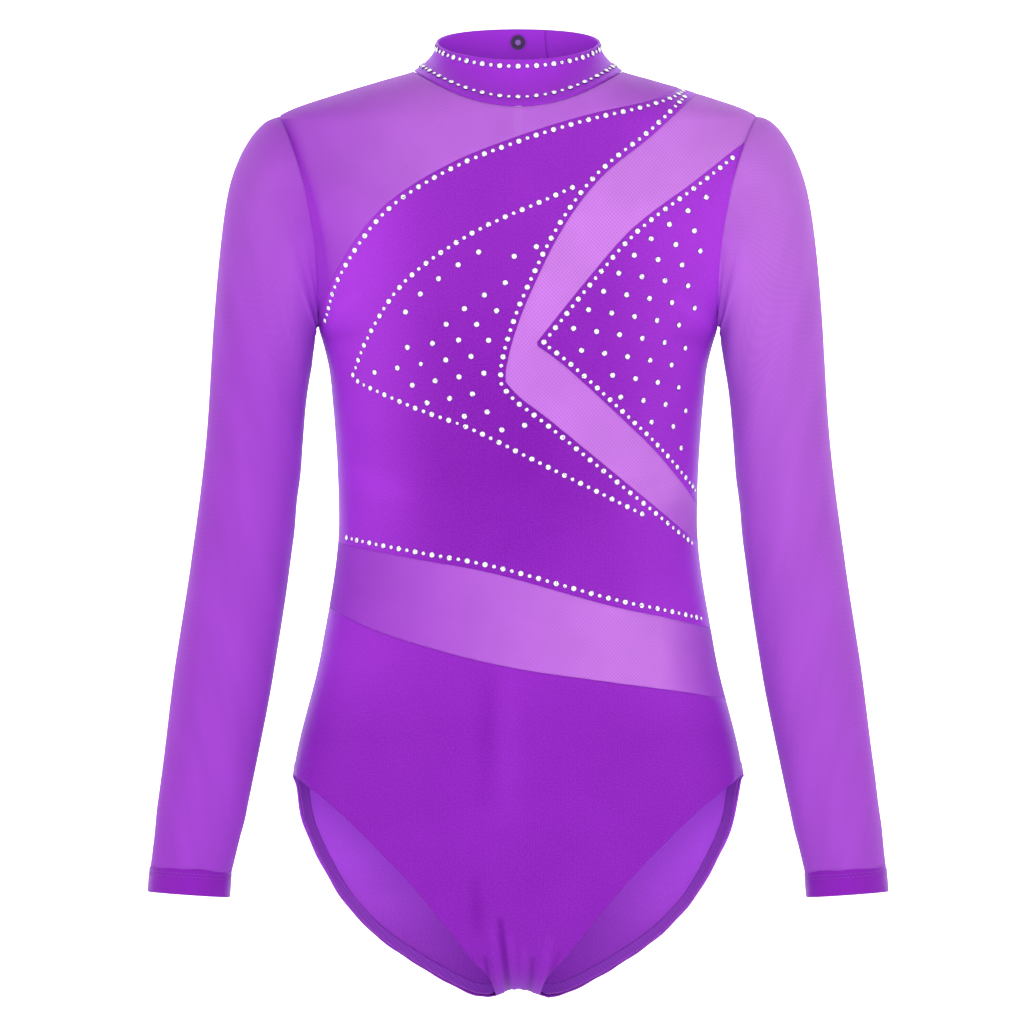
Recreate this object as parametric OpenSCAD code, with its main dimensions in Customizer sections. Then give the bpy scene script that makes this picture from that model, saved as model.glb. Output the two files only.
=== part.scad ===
// Long-sleeved gymnastics leotard with a mock-neck collar, sheer mesh insets and rows of glass stones.
// The front faces -Y, +X is the wearer's left, +Z is up. The origin is the centre of the collar seam,
// level with the point where the neck meets the shoulder. All sizes are in millimetres.

/* [Body] */
// Height from the neck and shoulder point down to the crotch
body_len = 600; // [480:5:720]
// Width under the arms
chest_w = 258; // [215:2:310]
// Width at the waist
waist_w = 231; // [192:1:278]
// Width at the hips, where the leg openings start
hip_w = 290; // [245:2:348]
// Front-to-back depth at the chest
chest_d = 170; // [142:2:204]
// Front-to-back depth at the waist
waist_d = 136; // [113:2:164]
// Front-to-back depth at the hips
hip_d = 160; // [133:2:192]

/* [Shoulder and armhole] */
// Width from the top of one armhole to the other
shoulder_w = 308; // [280:2:370]
// How far the top of the armhole lies below the neck point
shoulder_drop = 33; // [27:1:40]
// Height of the armhole
armhole_h = 132; // [110:2:158]
// Front-to-back depth of the armhole
armhole_d = 100; // [84:2:120]
// How far the armhole seam scoops in towards the chest
armhole_scoop = 8; // [4:1:12]

/* [Collar] */
// Width at the top of the collar
neck_w = 106; // [90:1:126]
// Front-to-back depth at the top of the collar
neck_d = 90; // [76:1:108]
// Width at the foot of the collar
collar_foot_w = 136; // [128:1:160]
// Height of the collar at the centre back
collar_h = 31; // [26:1:37]
// How far the foot of the collar dips at the centre front
front_dip = 24; // [18:1:28]

/* [Sleeve] */
// Drop from the top of the armhole to the upper edge of the cuff hem
sleeve_len = 484; // [400:4:580]
// How far the wrist hangs out from the top of the armhole
wrist_out = 57; // [45:1:70]
// Outer diameter of the cuff
wrist_w = 52.6; // [44:0.1:60]
// Height of the cuff hem
cuff_h = 16; // [12:1:20]
// Lean of the cuff away from upright, in degrees
cuff_lean = 4; // [0:1:8]

/* [Cloth] */
// Thickness of the stretch satin
satin_t = 0.8; // [0.6:0.1:1]
// Thickness of the mesh
mesh_t = 0.5; // [0.4:0.1:0.7]
// Thickness of the folded collar
collar_t = 1.6; // [1.2:0.1:2]
// Thickness of a turned hem
hem_t = 1.2; // [1:0.1:1.5]
// Width of the seam tapes and elastics
tape_w = 6; // [4:0.5:8]
// Thickness of a tape
tape_t = 0.6; // [0.4:0.1:0.8]
// Clear space between two layers of cloth
layer_gap = 0.7; // [0.5:0.1:1]
// Clear space between a sleeve and the armhole
swing_gap = 0.4; // [0.3:0.1:0.8]

/* [Stones] */
// Diameter of a large stone
big_stone = 4; // [3.2:0.1:4.8]
// Diameter of a small stone
small_stone = 2.8; // [2.2:0.1:3.2]
// Distance between stones in a row
row_pitch = 5.9; // [5:0.1:7]
// Distance between scattered stones
field_pitch = 15.5; // [12:0.5:19]
// Distance of a row from its seam
row_inset = 3.4; // [2.6:0.1:4.2]

/* [Back closure] */
// Diameter of a press stud
stud_d = 9.6; // [8:0.1:11]
// Length of the back slit below the collar
slit_len = 125; // [80:5:150]
// Width of the back slit
slit_w = 5; // [4:0.5:8]
// Width of the binding around the slit
binding_w = 7; // [5:0.5:9]
// Angle of the collar that the overlapping tab covers, in degrees
tab_angle = 40; // [32:1:48]

/* [Hidden] */

satin = [0.60, 0.19, 0.80];
net = [0.74, 0.38, 0.90];
dark = [0.42, 0.14, 0.56];
crystal = [0.96, 0.94, 1.00];

// scale of the pattern pieces against the size they were drawn at
kx = chest_w / 258;
kz = body_len / 600;

foot_r = collar_foot_w / 2;
armpit = shoulder_drop + armhole_h;
crotch = body_len;
round_from = crotch - 60;     // the underside starts to round here
back_dip = 4;                 // dip of the collar seam at the centre back
step = 9;                     // degrees between two columns of the cloth grid

// ---- smooth curve through [key, value, value, ...] rows, with no overshoot ----
function rise(t, i, c) = (t[i + 1][c] - t[i][c]) / (t[i + 1][0] - t[i][0]);
function lean(t, i, c) =
    i == 0 ? rise(t, 0, c) :
    i == len(t) - 1 ? rise(t, i - 1, c) :
    let (a = rise(t, i - 1, c), b = rise(t, i, c)) a * b <= 0 ? 0 : 2 * a * b / (a + b);
function span(t, k, i = 0) = i >= len(t) - 2 || k <= t[i + 1][0] ? i : span(t, k, i + 1);
function curve(t, k, c = 1) =
    let (i = span(t, k), h = t[i + 1][0] - t[i][0], u = min(1, max(0, (k - t[i][0]) / h)))
    (2 * u * u * u - 3 * u * u + 1) * t[i][c] + (u * u * u - 2 * u * u + u) * h * lean(t, i, c)
    + (3 * u * u - 2 * u * u * u) * t[i + 1][c] + (u * u * u - u * u) * h * lean(t, i + 1, c);

// ---- body shape, by drop below the neck point ----
// half width of the shoulder line, from the collar out to the armhole
function shoulder_row(share, fall) =
    [2 + (shoulder_drop - 2) * fall, foot_r + (shoulder_w / 2 - foot_r) * share];
shoulder_line = concat([[-12, foot_r - 14]],
    [shoulder_row(0, 0), shoulder_row(0.22, 0.19), shoulder_row(0.57, 0.48), shoulder_row(0.9, 0.81),
     shoulder_row(1, 1)]);
// half width from the armpit down
side_line = [
    [armpit, chest_w / 2],                              // armpit
    [max(200 * kz, armpit + 20), chest_w / 2 - 8],      // lower chest
    [290 * kz, waist_w / 2],                            // waist
    [375 * kz, waist_w / 2 * 0.62 + hip_w / 2 * 0.38],  // top of the hips
    [455 * kz, hip_w / 2],                              // leg openings
    [490 * kz, hip_w / 2 + 3],                          // seat
    [crotch - 60, hip_w / 2 - 5],
    [crotch, hip_w / 2 - 31]];
// depth in front of and behind the side plane
depth_line = [
    [-12, foot_r - 18, foot_r - 18],
    [2, foot_r - 12, foot_r - 14],
    [shoulder_drop, chest_d * 0.39, chest_d * 0.4],
    [100 * kz, chest_d * 0.47, chest_d * 0.49],
    [165 * kz, chest_d * 0.51, chest_d * 0.49],
    [290 * kz, waist_d * 0.53, waist_d * 0.47],
    [375 * kz, hip_d * 0.46, hip_d * 0.47],
    [455 * kz, hip_d * 0.44, hip_d * 0.56],
    [490 * kz, hip_d * 0.42, hip_d * 0.56],
    [crotch - 60, hip_d * 0.36, hip_d * 0.46],
    [crotch, hip_d * 0.28, hip_d * 0.34]];

// how far down the armhole a drop lies, from -1 at its top to 1 at the armpit
function arm_level(d) = min(1, max(-1, (d - shoulder_drop - armhole_h / 2) / (armhole_h / 2)));
function arm_open(d) = d <= shoulder_drop || d >= armpit ? 0 : sqrt(1 - pow(arm_level(d), 2));
function arm_x(d) = shoulder_w / 4 + chest_w / 4 - (shoulder_w - chest_w) / 4 * arm_level(d)
    - armhole_scoop * pow(arm_open(d), 2);
function half_w(d) = d <= shoulder_drop ? curve(shoulder_line, d) : d < armpit ? arm_x(d) : curve(side_line, d);
function under(d) = d <= round_from ? 1 : sqrt(max(0, 1 - pow((d - round_from) / (crotch - round_from), 2)));
function depth(d, side) = curve(depth_line, d, side < 0 ? 1 : 2) * under(d);

// point of the cloth at angle a (-90 right side seam, 90 left side seam) and drop d; side -1 front, 1 back
function body_at(a, d, side) =
    let (o = arm_open(d), y0 = armhole_d / 2 * o, q = 1 + 0.8 * o)
    [half_w(d) * sin(a), side * (y0 + (depth(d, side) - y0) * pow(max(0, cos(a)), q)), -d];
function unit(v) = v / max(norm(v), 1e-9);
function body_out(a, d, side) =
    let (across = body_at(min(90, a + 2), d, side) - body_at(max(-90, a - 2), d, side),
         down = body_at(a, min(crotch, d + 1.5), side) - body_at(a, d - 1.5, side))
    unit(cross(across, down)) * side;
// the same point moved out by t along the cloth's outward direction; seams stay in the side plane
function body_off(a, d, side, t) =
    let (p = body_at(a, d, side), q = p + t * body_out(a, d, side)) abs(p[1]) < 1e-6 ? [q[0], 0, q[2]] : q;

// rows of the cloth grid, closer together where the shape turns fast
grid_rows = concat(
    [-8, -3, 2],
    [for (k = [1:4]) 2 + (shoulder_drop - 2) * k / 5],
    [for (k = [0:8]) shoulder_drop + armhole_h * (1 - cos(k * 22.5)) / 2],
    [for (k = [1:13]) armpit + (455 * kz - armpit) * k / 13],
    [for (k = [1:3]) 455 * kz + (round_from - 455 * kz) * k / 3],
    [for (k = [1:6]) round_from + (crotch - round_from) * sin(k * 15)]);
grid_cols = [for (a = [-90:step:90]) a];

// ---- closed solid between two grids of points ----
function flat(g) = [for (r = g) each r];
module slab(top, low, ring = false) {
    n = len(top);
    m = len(top[0]);
    k = n * m;
    w = ring ? m : m - 1;
    quads = concat(
        [for (i = [0:n - 2], j = [0:w - 1]) let (j2 = (j + 1) % m)
            [i * m + j, (i + 1) * m + j, (i + 1) * m + j2, i * m + j2]],
        [for (i = [0:n - 2], j = [0:w - 1]) let (j2 = (j + 1) % m)
            [k + i * m + j, k + i * m + j2, k + (i + 1) * m + j2, k + (i + 1) * m + j]],
        [for (j = [0:w - 1]) let (j2 = (j + 1) % m) [j, j2, k + j2, k + j]],
        [for (j = [0:w - 1]) let (j2 = (j + 1) % m, b = (n - 1) * m) [b + j2, b + j, k + b + j, k + b + j2]],
        ring ? [] : [for (i = [0:n - 2]) [(i + 1) * m, i * m, k + i * m, k + (i + 1) * m]],
        ring ? [] : [for (i = [0:n - 2]) [i * m + m - 1, (i + 1) * m + m - 1, k + (i + 1) * m + m - 1, k + i * m + m - 1]]);
    polyhedron(concat(flat(top), flat(low)),
        [for (q = quads) each [[q[0], q[1], q[2]], [q[0], q[2], q[3]]]]);
}

// a layer of the whole front or back, from `over` outside the cloth's face to `below` inside it
module layer(side, over, below) {
    cols = side > 0 ? grid_cols : [for (a = grid_cols) -a];
    slab([for (d = grid_rows) [for (a = cols) body_off(a, d, side, over)]],
         [for (d = grid_rows) [for (a = cols) body_off(a, d, side, -below)]]);
}
// the part of a layer inside a flat outline, seen from the front; resize with zeros keeps every size
module cloth(side, t, over = 0) {
    resize([0, 0, 0]) intersection() {
        layer(side, over, t);
        rotate([90, 0, 0]) linear_extrude(600, center = true) children();
    }
}

// ---- pattern outlines, seen from the front: [across, down] ----
// smooth line through a few points
function bend(a, b, c, d, u) =
    0.5 * ((2 * b) + (c - a) * u + (2 * a - 5 * b + 4 * c - d) * u * u + (3 * b - a - 3 * c + d) * u * u * u);
function smooth(p, n = 4) = let (m = len(p) - 1) concat(
    [for (i = [0:m - 1], k = [0:n - 1])
        bend(p[max(0, i - 1)], p[i], p[i + 1], p[min(m, i + 2)], k / n)], [p[m]]);
function fit(p) = [for (q = p) [q[0] * kx, -q[1] * kz]];
function shift(p, s) = [for (i = [0:len(p) - 1])
    let (t = unit(p[min(i + 1, len(p) - 1)] - p[max(i - 1, 0)])) p[i] + s * [t[1], -t[0]]];

wide = 400;
arc_seam = fit(smooth([[-134, 182], [-128, 168], [-118, 134], [-88, 92], [-46, 64], [-2, 46], [42, 32],
                       [84, 22], [102, 15], [108, 6]]));
chevron_top = smooth([[122, 2], [118, 13], [88, 43], [54, 71], [29, 104], [8, 146], [-3, 175], [-8, 196]]);
chevron_low = smooth([[-8, 203], [1, 213], [22, 229], [76, 273], [108, 299], [134, 320]]);
chevron_seam = fit(concat(chevron_top, chevron_low));
wedge_top = smooth([[152, 46], [141, 52], [112, 75], [74, 104], [44, 138], [11, 179]]);
wedge_low = smooth([[11, 179], [30, 193], [62, 222], [91, 250], [112, 276], [132, 304]]);
waist_seam = fit(smooth([[-134, 298], [-112, 307], [-63, 317], [-15, 326], [57, 346], [99, 355], [134, 364]]));
brief_seam = fit(smooth([[-140, 338], [-98, 360], [-48, 376], [0, 387], [55, 395], [113, 403], [150, 411]]));
leg_front = fit(smooth([[150, 450], [143, 457], [112, 482], [68, 527], [34, 571], [20, 589], [17, 604]]));
leg_back = fit(smooth([[150, 451], [144, 460], [137, 491], [117, 530], [77, 569], [44, 589], [22, 599], [17, 606]]));
leaf_top = fit(smooth([[40, 76], [16, 87], [-30, 108], [-72, 138], [-95, 172], [-106, 199]]));
leaf_low = fit(smooth([[-106, 199], [-98, 205], [-65, 220], [-30, 233], [4, 250], [40, 268], [80, 288]]));

function closed(p, more) = concat(p, more);
module above_arc()
    polygon(closed(arc_seam, [[102 * kx, 60], [-wide, 60], [-wide, -182 * kz]]));
module right_of_chevron()
    polygon(closed(chevron_seam, [[wide, -320 * kz], [wide, 60], [112 * kx, 60]]));
module wedge_outline()
    polygon(closed(fit(concat(wedge_top, wedge_low)), [[wide, -304 * kz], [wide, -46 * kz]]));
module below(seam)
    polygon(closed(seam, [[wide, seam[len(seam) - 1][1]], [wide, -crotch - 60], [-wide, -crotch - 60],
                          [-wide, seam[0][1]]]));
module leg_hole(edge)
    polygon(closed(edge, [[edge[len(edge) - 1][0], -crotch - 60], [wide, -crotch - 60], [wide, edge[0][1]]]));
module leg_holes(edge) {
    leg_hole(edge);
    mirror([1, 0]) leg_hole(edge);
}
// drop of the collar seam at angle f round the neck, 0 at the centre front
function seam_drop(f) = 2 + (cos(f) > 0 ? front_dip : back_dip) * pow(cos(f), 2);
neck_top = 2.05;              // drop of the neck hole's ends, just under a row of the cloth grid
module neck_hole(dip)
    polygon(closed([for (f = [-90:step:90]) [foot_r * sin(f), -neck_top - dip * pow(cos(f), 2)]],
                   [[wide, -neck_top], [wide, 60], [-wide, 60], [-wide, -neck_top]]));
module slit(grow = 0)
    translate([0, -back_dip - slit_len]) union() {
        circle(slit_w / 2 + grow, $fn = 24);
        translate([-slit_w / 2 - grow, 0]) square([slit_w + 2 * grow, slit_len + 40]);
    }

// ---- collar ----
// point of the collar at angle f and share s of its height, t outside its outer face
function collar_at(f, s, t = 0) =
    let (d = seam_drop(f), side = cos(f) > 0 ? -1 : 1, x = foot_r * sin(f),
         a = asin(min(1, max(-1, x / half_w(d)))), low = body_at(a, d, side),
         top = [neck_w / 2 * sin(f), -neck_d / 2 * cos(f) - 1,
                collar_h - 15 - 11 * cos(f) - 1.5 * pow(cos(f), 2)],
         ease = 1 - pow(1 - s, 2),
         p = [low[0] + (top[0] - low[0]) * ease, low[1] + (top[1] - low[1]) * ease, low[2] + (top[2] - low[2]) * s])
    p + t * [sin(f), -cos(f), 0];
function collar_out(f, s) = unit(cross(collar_at(f + 2, s) - collar_at(f - 2, s),
                                       collar_at(f, min(1, s + 0.1)) - collar_at(f, max(0, s - 0.1))));
collar_rows = [0, 0.2, 0.45, 0.7, 0.88, 1];
tab_lift = 2.8;               // how far the tab stands off the band, for the press studs
tab_foot = 0.12;              // share of the height left free under the tab

module collar_piece(from, to, rows, lift) {
    n = ceil((to - from) / step);
    cols = [for (k = [0:n]) from + (to - from) * k / n];
    slab([for (s = rows) [for (f = cols) collar_at(f, s, lift)]],
         [for (s = rows) [for (f = cols) collar_at(f, s, lift - collar_t)]]);
}
tab_root = 180 - tab_angle / 2;
module collar_band() color(satin)
    collar_piece(tab_root - 356, tab_root, collar_rows, 0);
module collar_tab() color(satin)
    collar_piece(tab_root + 0.5, tab_root + tab_angle, [tab_foot, 0.3, 0.5, 0.75, 1], tab_lift + collar_t);

// ---- press studs, two at the centre back ----
stud_levels = [0.25, 0.76];
function tip(v) = [0, acos(v[2]), atan2(v[1], v[0])];
module on_collar_back(t)
    for (s = stud_levels)
        let (n = collar_out(180, s))
        translate(collar_at(180, s) + t * n) rotate(tip(n)) children();
stud_gap = 0.45;              // cloth bulge left free beside each stud part
module stud_backs() color(dark)
    on_collar_back(-collar_t - stud_gap) mirror([0, 0, 1]) difference() {
        cylinder(1.2, d = stud_d, $fn = 48);
        translate([0, 0, 0.7]) cylinder(1, d = stud_d * 0.4, $fn = 32);
    }
module stud_posts() color(dark)
    on_collar_back(stud_gap) {
        cylinder(0.5, d = stud_d, $fn = 48);
        cylinder(1.5, d = 3, $fn = 32);
    }
module stud_sockets() color(dark)
    on_collar_back(stud_gap + 0.6) difference() {
        cylinder(1.3, d = stud_d, $fn = 48);
        translate([0, 0, -1]) cylinder(4, d = 3.8, $fn = 32);
    }
module stud_caps() color(dark)
    on_collar_back(tab_lift + collar_t + stud_gap)
        cylinder(1.1, d1 = stud_d, d2 = stud_d * 0.8, $fn = 48);

// ---- front panels ----
module yoke_mesh() color(net) cloth(-1, mesh_t) difference() {
    above_arc();
    neck_hole(front_dip);
}
module chest_panel() color(satin) cloth(-1, satin_t) difference() {
    square([2 * wide, 2 * wide], center = true);
    above_arc();
    right_of_chevron();
    below(waist_seam);
    neck_hole(front_dip);
}
module chevron_mesh() color(net) cloth(-1, mesh_t) difference() {
    right_of_chevron();
    wedge_outline();
}
module side_wedge() color(satin) cloth(-1, satin_t) wedge_outline();
module waist_mesh() color(net) cloth(-1, mesh_t) difference() {
    below(waist_seam);
    below(brief_seam);
}
module brief_front() color(satin) cloth(-1, satin_t) difference() {
    below(brief_seam);
    leg_holes(leg_front);
}

// ---- back panels ----
back_seam = 205 * kz;
module back_yoke_mesh() color(net) cloth(1, mesh_t) difference() {
    translate([-wide, -back_seam]) square([2 * wide, 2 * wide]);
    neck_hole(back_dip);
    slit();
}
module back_panel() color(satin) cloth(1, satin_t) difference() {
    translate([-wide, -back_seam - 2 * wide]) square([2 * wide, 2 * wide]);
    leg_holes(leg_back);
}
module slit_binding() color(satin) cloth(1, -0.2, 0.2 + tape_t) difference() {
    slit(binding_w);
    neck_hole(back_dip + 2);
    slit();
}

// ---- inside: lining, tapes and elastics ----
inner = satin_t + layer_gap;
module gusset_lining() color(net) {
    cloth(-1, inner + mesh_t, -inner) translate([-16 * kx, -crotch - 20]) square([32 * kx, 85]);
    cloth(1, inner + mesh_t, -inner) translate([-16 * kx, -crotch - 20]) square([32 * kx, 60]);
}
module armhole_strip() {
    edge = [for (k = [0:12]) let (d = shoulder_drop + armhole_h * (1 - cos(k * 15)) / 2) [arm_x(d), -d]];
    polygon(concat(edge, [for (k = [12:-1:0]) edge[k] - [tape_w, 0]]));
}
module left_armhole_tape() color(dark)
    for (side = [-1, 1]) cloth(side, inner + tape_t, -inner) armhole_strip();
module right_armhole_tape() mirror([1, 0, 0]) left_armhole_tape();
module leg_band(edge) difference() {
    offset(delta = tape_w, chamfer = true) leg_hole(edge);
    leg_hole(edge);
    translate([-wide, -crotch - wide]) square([wide + 17 * kx, 2 * wide]);
    translate([0, -455 * kz + 2]) square(wide);
}
module left_leg_elastic() color(dark) {
    cloth(-1, inner + tape_t, -inner) leg_band(leg_front);
    cloth(1, inner + tape_t, -inner) leg_band(leg_back);
}
module right_leg_elastic() mirror([1, 0, 0]) left_leg_elastic();

// ---- sleeve ----
cuff_top = [shoulder_w / 2 + wrist_out, -8, -shoulder_drop - sleeve_len];
cuff_r = wrist_w / 2;
ks = sleeve_len / 484;
kr = (sleeve_len - armhole_h) / (484 - 132);
arm_w = (shoulder_w / 2 + wrist_out) / 211;
// share along, outer line out and down from the armhole top, inner line out and down from the armpit, half depth
arm_line = [
    [0, 0, 0, 0, 0, armhole_d / 2],
    [0.08, 12, 7, 0.5, 3, armhole_d / 2 - 1],
    [0.17, 24, 22, 1.5, 9, armhole_d / 2 - 3],
    [0.26, 33, 48, 2.5, 17, armhole_d / 2 - 6],
    [0.36, 38, 84, 4, 29, 40],
    [0.46, 42, 130, 7, 48, 36],
    [0.57, 47, 205, 11.5, 96, 33],
    [0.7, 57, 287, 19, 165, 33],
    [0.8, 66, 346, 28, 224, 31.5],
    [0.9, 75, 415, 42, 294, 28.5]];
// middle and outward half-axis of the ring at a share along the sleeve
function arm_ends(i) = let (r = arm_line[i])
    [[shoulder_w / 2 + r[1], 0, -shoulder_drop - r[2] * ks], [chest_w / 2 + r[3], 0, -armpit - r[4] * kr]];
arm_rows = concat(
    [for (i = [0:len(arm_line) - 1]) let (e = arm_ends(i), m = (e[0] + e[1]) / 2, h = (e[0] - e[1]) / 2)
        [arm_line[i][0], m[0], m[2], h[0], h[2], arm_line[i][5]]],
    [[1, cuff_top[0], cuff_top[2], cuff_r * cos(cuff_lean), cuff_r * sin(cuff_lean), cuff_r]]);
arm_shares = [0, 0.04, 0.08, 0.125, 0.17, 0.215, 0.26, 0.31, 0.36, 0.41, 0.46, 0.515, 0.57, 0.635,
              0.7, 0.75, 0.8, 0.85, 0.9, 0.95, 1];
function sleeve_at(u, a, t) =
    let (h = [curve(arm_rows, u, 3), 0, curve(arm_rows, u, 4)], y = curve(arm_rows, u, 5),
         scoop = armhole_scoop * pow(max(0, 1 - u / 0.3), 2) * pow(sin(a), 2))
    [curve(arm_rows, u, 1) - scoop + swing_gap, cuff_top[1] * u * u, curve(arm_rows, u, 2)]
    + h * (1 - t / norm(h)) * cos(a) - [0, (y - t) * sin(a), 0];
module left_sleeve() color(net)
    slab([for (u = arm_shares) [for (a = [0:22.5:337.5]) sleeve_at(u, a, 0.35)]],
         [for (u = arm_shares) [for (a = [0:22.5:337.5]) sleeve_at(u, a, 0.35 + mesh_t)]], ring = true);
module right_sleeve() mirror([1, 0, 0]) left_sleeve();
module left_cuff_hem() color(satin)
    translate(cuff_top + [swing_gap, 0, 0]) rotate([0, 180 - cuff_lean, 0]) difference() {
        cylinder(cuff_h, r = cuff_r, $fn = 64);
        translate([0, 0, -1]) cylinder(cuff_h + 2, r = cuff_r - hem_t, $fn = 64);
    }
module right_cuff_hem() mirror([1, 0, 0]) left_cuff_hem();

// ---- stones ----
glue_t = 0.32;                // glue under each stone
// a flat-backed faceted stone standing on z = 0
module stone(d) cylinder(d * 0.4, d1 = d, d2 = d * 0.56, $fn = 16);
function front_at(p) = let (d = -p[1], a = asin(min(1, max(-1, p[0] / half_w(d))))) body_at(a, d, -1);
function front_out(p) = let (d = -p[1], a = asin(min(1, max(-1, p[0] / half_w(d))))) body_out(a, d, -1);
// running length of a line and the point a given way along it
function lengths(p, i = 0, sum = 0) =
    i == len(p) - 1 ? [sum] : concat([sum], lengths(p, i + 1, sum + norm(p[i + 1] - p[i])));
function along(p, l, s) = let (i = max([for (k = [0:len(p) - 2]) l[k] <= s ? k : 0]))
    p[i] + (p[i + 1] - p[i]) * (s - l[i]) / max(1e-6, l[i + 1] - l[i]);
// outline points with their place on the cloth, so that spacing is measured on the cloth
function lifted(p) = [for (q = p) let (c = front_at(q)) [c[0], c[1], c[2], q[0], q[1]]];
function cut3(p) = [for (q = p) [q[0], q[1], q[2]]];
function on_cloth(p) = [for (q = p) if (abs(q[0]) < half_w(-q[1]) * 0.995) q];
function walk(p, pitch, from = 0) =
    let (c = lifted(on_cloth(p)), l = lengths(cut3(c)), total = l[len(l) - 1], n = floor((total - from) / pitch))
    [for (k = [0:n]) let (q = along(c, l, from + k * pitch)) [q[3], q[4]]];
module set_stones(places, all_big = false) color(crystal)
    for (k = [0:len(places) - 1])
        let (p = places[k], n = front_out(p))
        translate(front_at(p) + glue_t * n) rotate(tip(n)) stone(all_big || k % 2 == 0 ? big_stone : small_stone);
module collar_stones(s) color(crystal) {
    r = norm(collar_at(90, s) - [0, 0, collar_at(90, s)[2]]);
    turn = row_pitch / r * 57.3;
    n = floor(140 / turn);
    for (k = [-n:n]) let (f = k * turn, v = collar_out(f, s))
        translate(collar_at(f, s) + glue_t * v) rotate(tip(v)) stone(k % 2 == 0 ? big_stone : small_stone);
}
// scattered stones: rows that repeat a leading line, kept inside an outline
function cross2(a, b) = a[0] * b[1] - a[1] * b[0];
function crossings(p, o) = len([for (i = [0:len(o) - 1])
    let (a = o[i], b = o[(i + 1) % len(o)])
    if ((a[1] > p[1]) != (b[1] > p[1]) && p[0] < (b[0] - a[0]) * (p[1] - a[1]) / (b[1] - a[1]) + a[0]) 1]);
function near(p, o) = min([for (i = [0:len(o) - 2])
    let (a = o[i], v = o[i + 1] - a, t = min(1, max(0, (p - a) * v / max(1e-6, v * v)))) norm(p - a - t * v)]);
function field(lead, outline, rows, margin) = [for (r = [1:rows])
    each [for (q = walk(shift(lead, r * field_pitch * 0.82), field_pitch, (r % 2) * field_pitch / 2))
        if (crossings(q, outline) % 2 == 1 && near(q, outline) > margin) q]];

function back_to_front(p) = [for (i = [len(p) - 1:-1:0]) p[i]];
chevron_row = concat(shift(fit(chevron_top), row_inset), shift(fit(chevron_low), row_inset));
// where two lines cross: the first through a and b, the second through c and d
function meet(a, b, c, d) = a + (b - a) * cross2(c - a, d - c) / cross2(b - a, d - c);
wedge_rows = [shift(fit(wedge_top), -row_inset), shift(fit(wedge_low), -row_inset)];
wedge_last = len(wedge_rows[0]) - 1;
wedge_row = concat([for (i = [0:wedge_last - 1]) wedge_rows[0][i]],
    [meet(wedge_rows[0][wedge_last - 1], wedge_rows[0][wedge_last], wedge_rows[1][0], wedge_rows[1][1])],
    [for (i = [1:len(wedge_rows[1]) - 1]) wedge_rows[1][i]]);
leaf_outline = concat(back_to_front(leaf_top), leaf_low, back_to_front(chevron_row));
wedge_side = [for (d = [300:-20:60]) [half_w(d * kz) - 3, -d * kz]];
module stones_collar_top() collar_stones(0.88);
module stones_collar_foot() collar_stones(0.2);
module stones_arc() set_stones(walk(shift(arc_seam, row_inset), row_pitch, 12));
module stones_chevron() set_stones(walk(chevron_row, row_pitch, 10));
module stones_leaf_top() set_stones(walk(leaf_top, row_pitch, row_pitch));
module stones_leaf_foot() set_stones(walk(leaf_low, row_pitch, row_pitch));
module stones_leaf_field() set_stones(field(back_to_front(leaf_top), leaf_outline, 9, big_stone + 1.6), all_big = true);
module stones_wedge() set_stones(walk(wedge_row, row_pitch, 8));
module stones_wedge_field()
    set_stones(field(back_to_front(fit(wedge_top)), concat(fit(wedge_top), fit(wedge_low), wedge_side), 9,
                    row_inset + big_stone + 0.4), all_big = true);
module stones_waist() set_stones(walk(shift(waist_seam, -row_inset - 1), row_pitch, 2));

collar_band();
collar_tab();
yoke_mesh();
chest_panel();
chevron_mesh();
side_wedge();
waist_mesh();
brief_front();
back_yoke_mesh();
back_panel();
gusset_lining();
slit_binding();
left_armhole_tape();
right_armhole_tape();
left_leg_elastic();
right_leg_elastic();
left_sleeve();
right_sleeve();
left_cuff_hem();
right_cuff_hem();
stud_backs();
stud_posts();
stud_sockets();
stud_caps();
stones_collar_top();
stones_collar_foot();
stones_arc();
stones_chevron();
stones_leaf_top();
stones_leaf_foot();
stones_leaf_field();
stones_wedge();
stones_wedge_field();
stones_waist();
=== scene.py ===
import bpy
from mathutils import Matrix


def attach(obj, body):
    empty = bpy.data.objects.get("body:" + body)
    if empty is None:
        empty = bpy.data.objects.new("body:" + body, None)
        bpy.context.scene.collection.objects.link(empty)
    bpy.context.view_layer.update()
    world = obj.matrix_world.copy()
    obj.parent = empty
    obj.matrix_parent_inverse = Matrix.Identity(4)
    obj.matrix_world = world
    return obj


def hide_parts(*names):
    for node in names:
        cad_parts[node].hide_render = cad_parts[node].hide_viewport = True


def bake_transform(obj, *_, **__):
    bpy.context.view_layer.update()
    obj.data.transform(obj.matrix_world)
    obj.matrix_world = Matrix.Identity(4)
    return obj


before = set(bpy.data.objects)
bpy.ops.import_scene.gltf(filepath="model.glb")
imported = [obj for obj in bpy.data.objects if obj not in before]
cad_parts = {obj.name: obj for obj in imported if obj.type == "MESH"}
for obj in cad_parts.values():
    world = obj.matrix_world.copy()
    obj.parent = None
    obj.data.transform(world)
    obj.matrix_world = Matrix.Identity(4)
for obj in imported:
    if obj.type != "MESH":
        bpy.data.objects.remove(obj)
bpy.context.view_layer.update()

import math

import bmesh
import bpy
import numpy as np
from mathutils import Vector

mm = 0.001
dice = np.random.default_rng(20)

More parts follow.
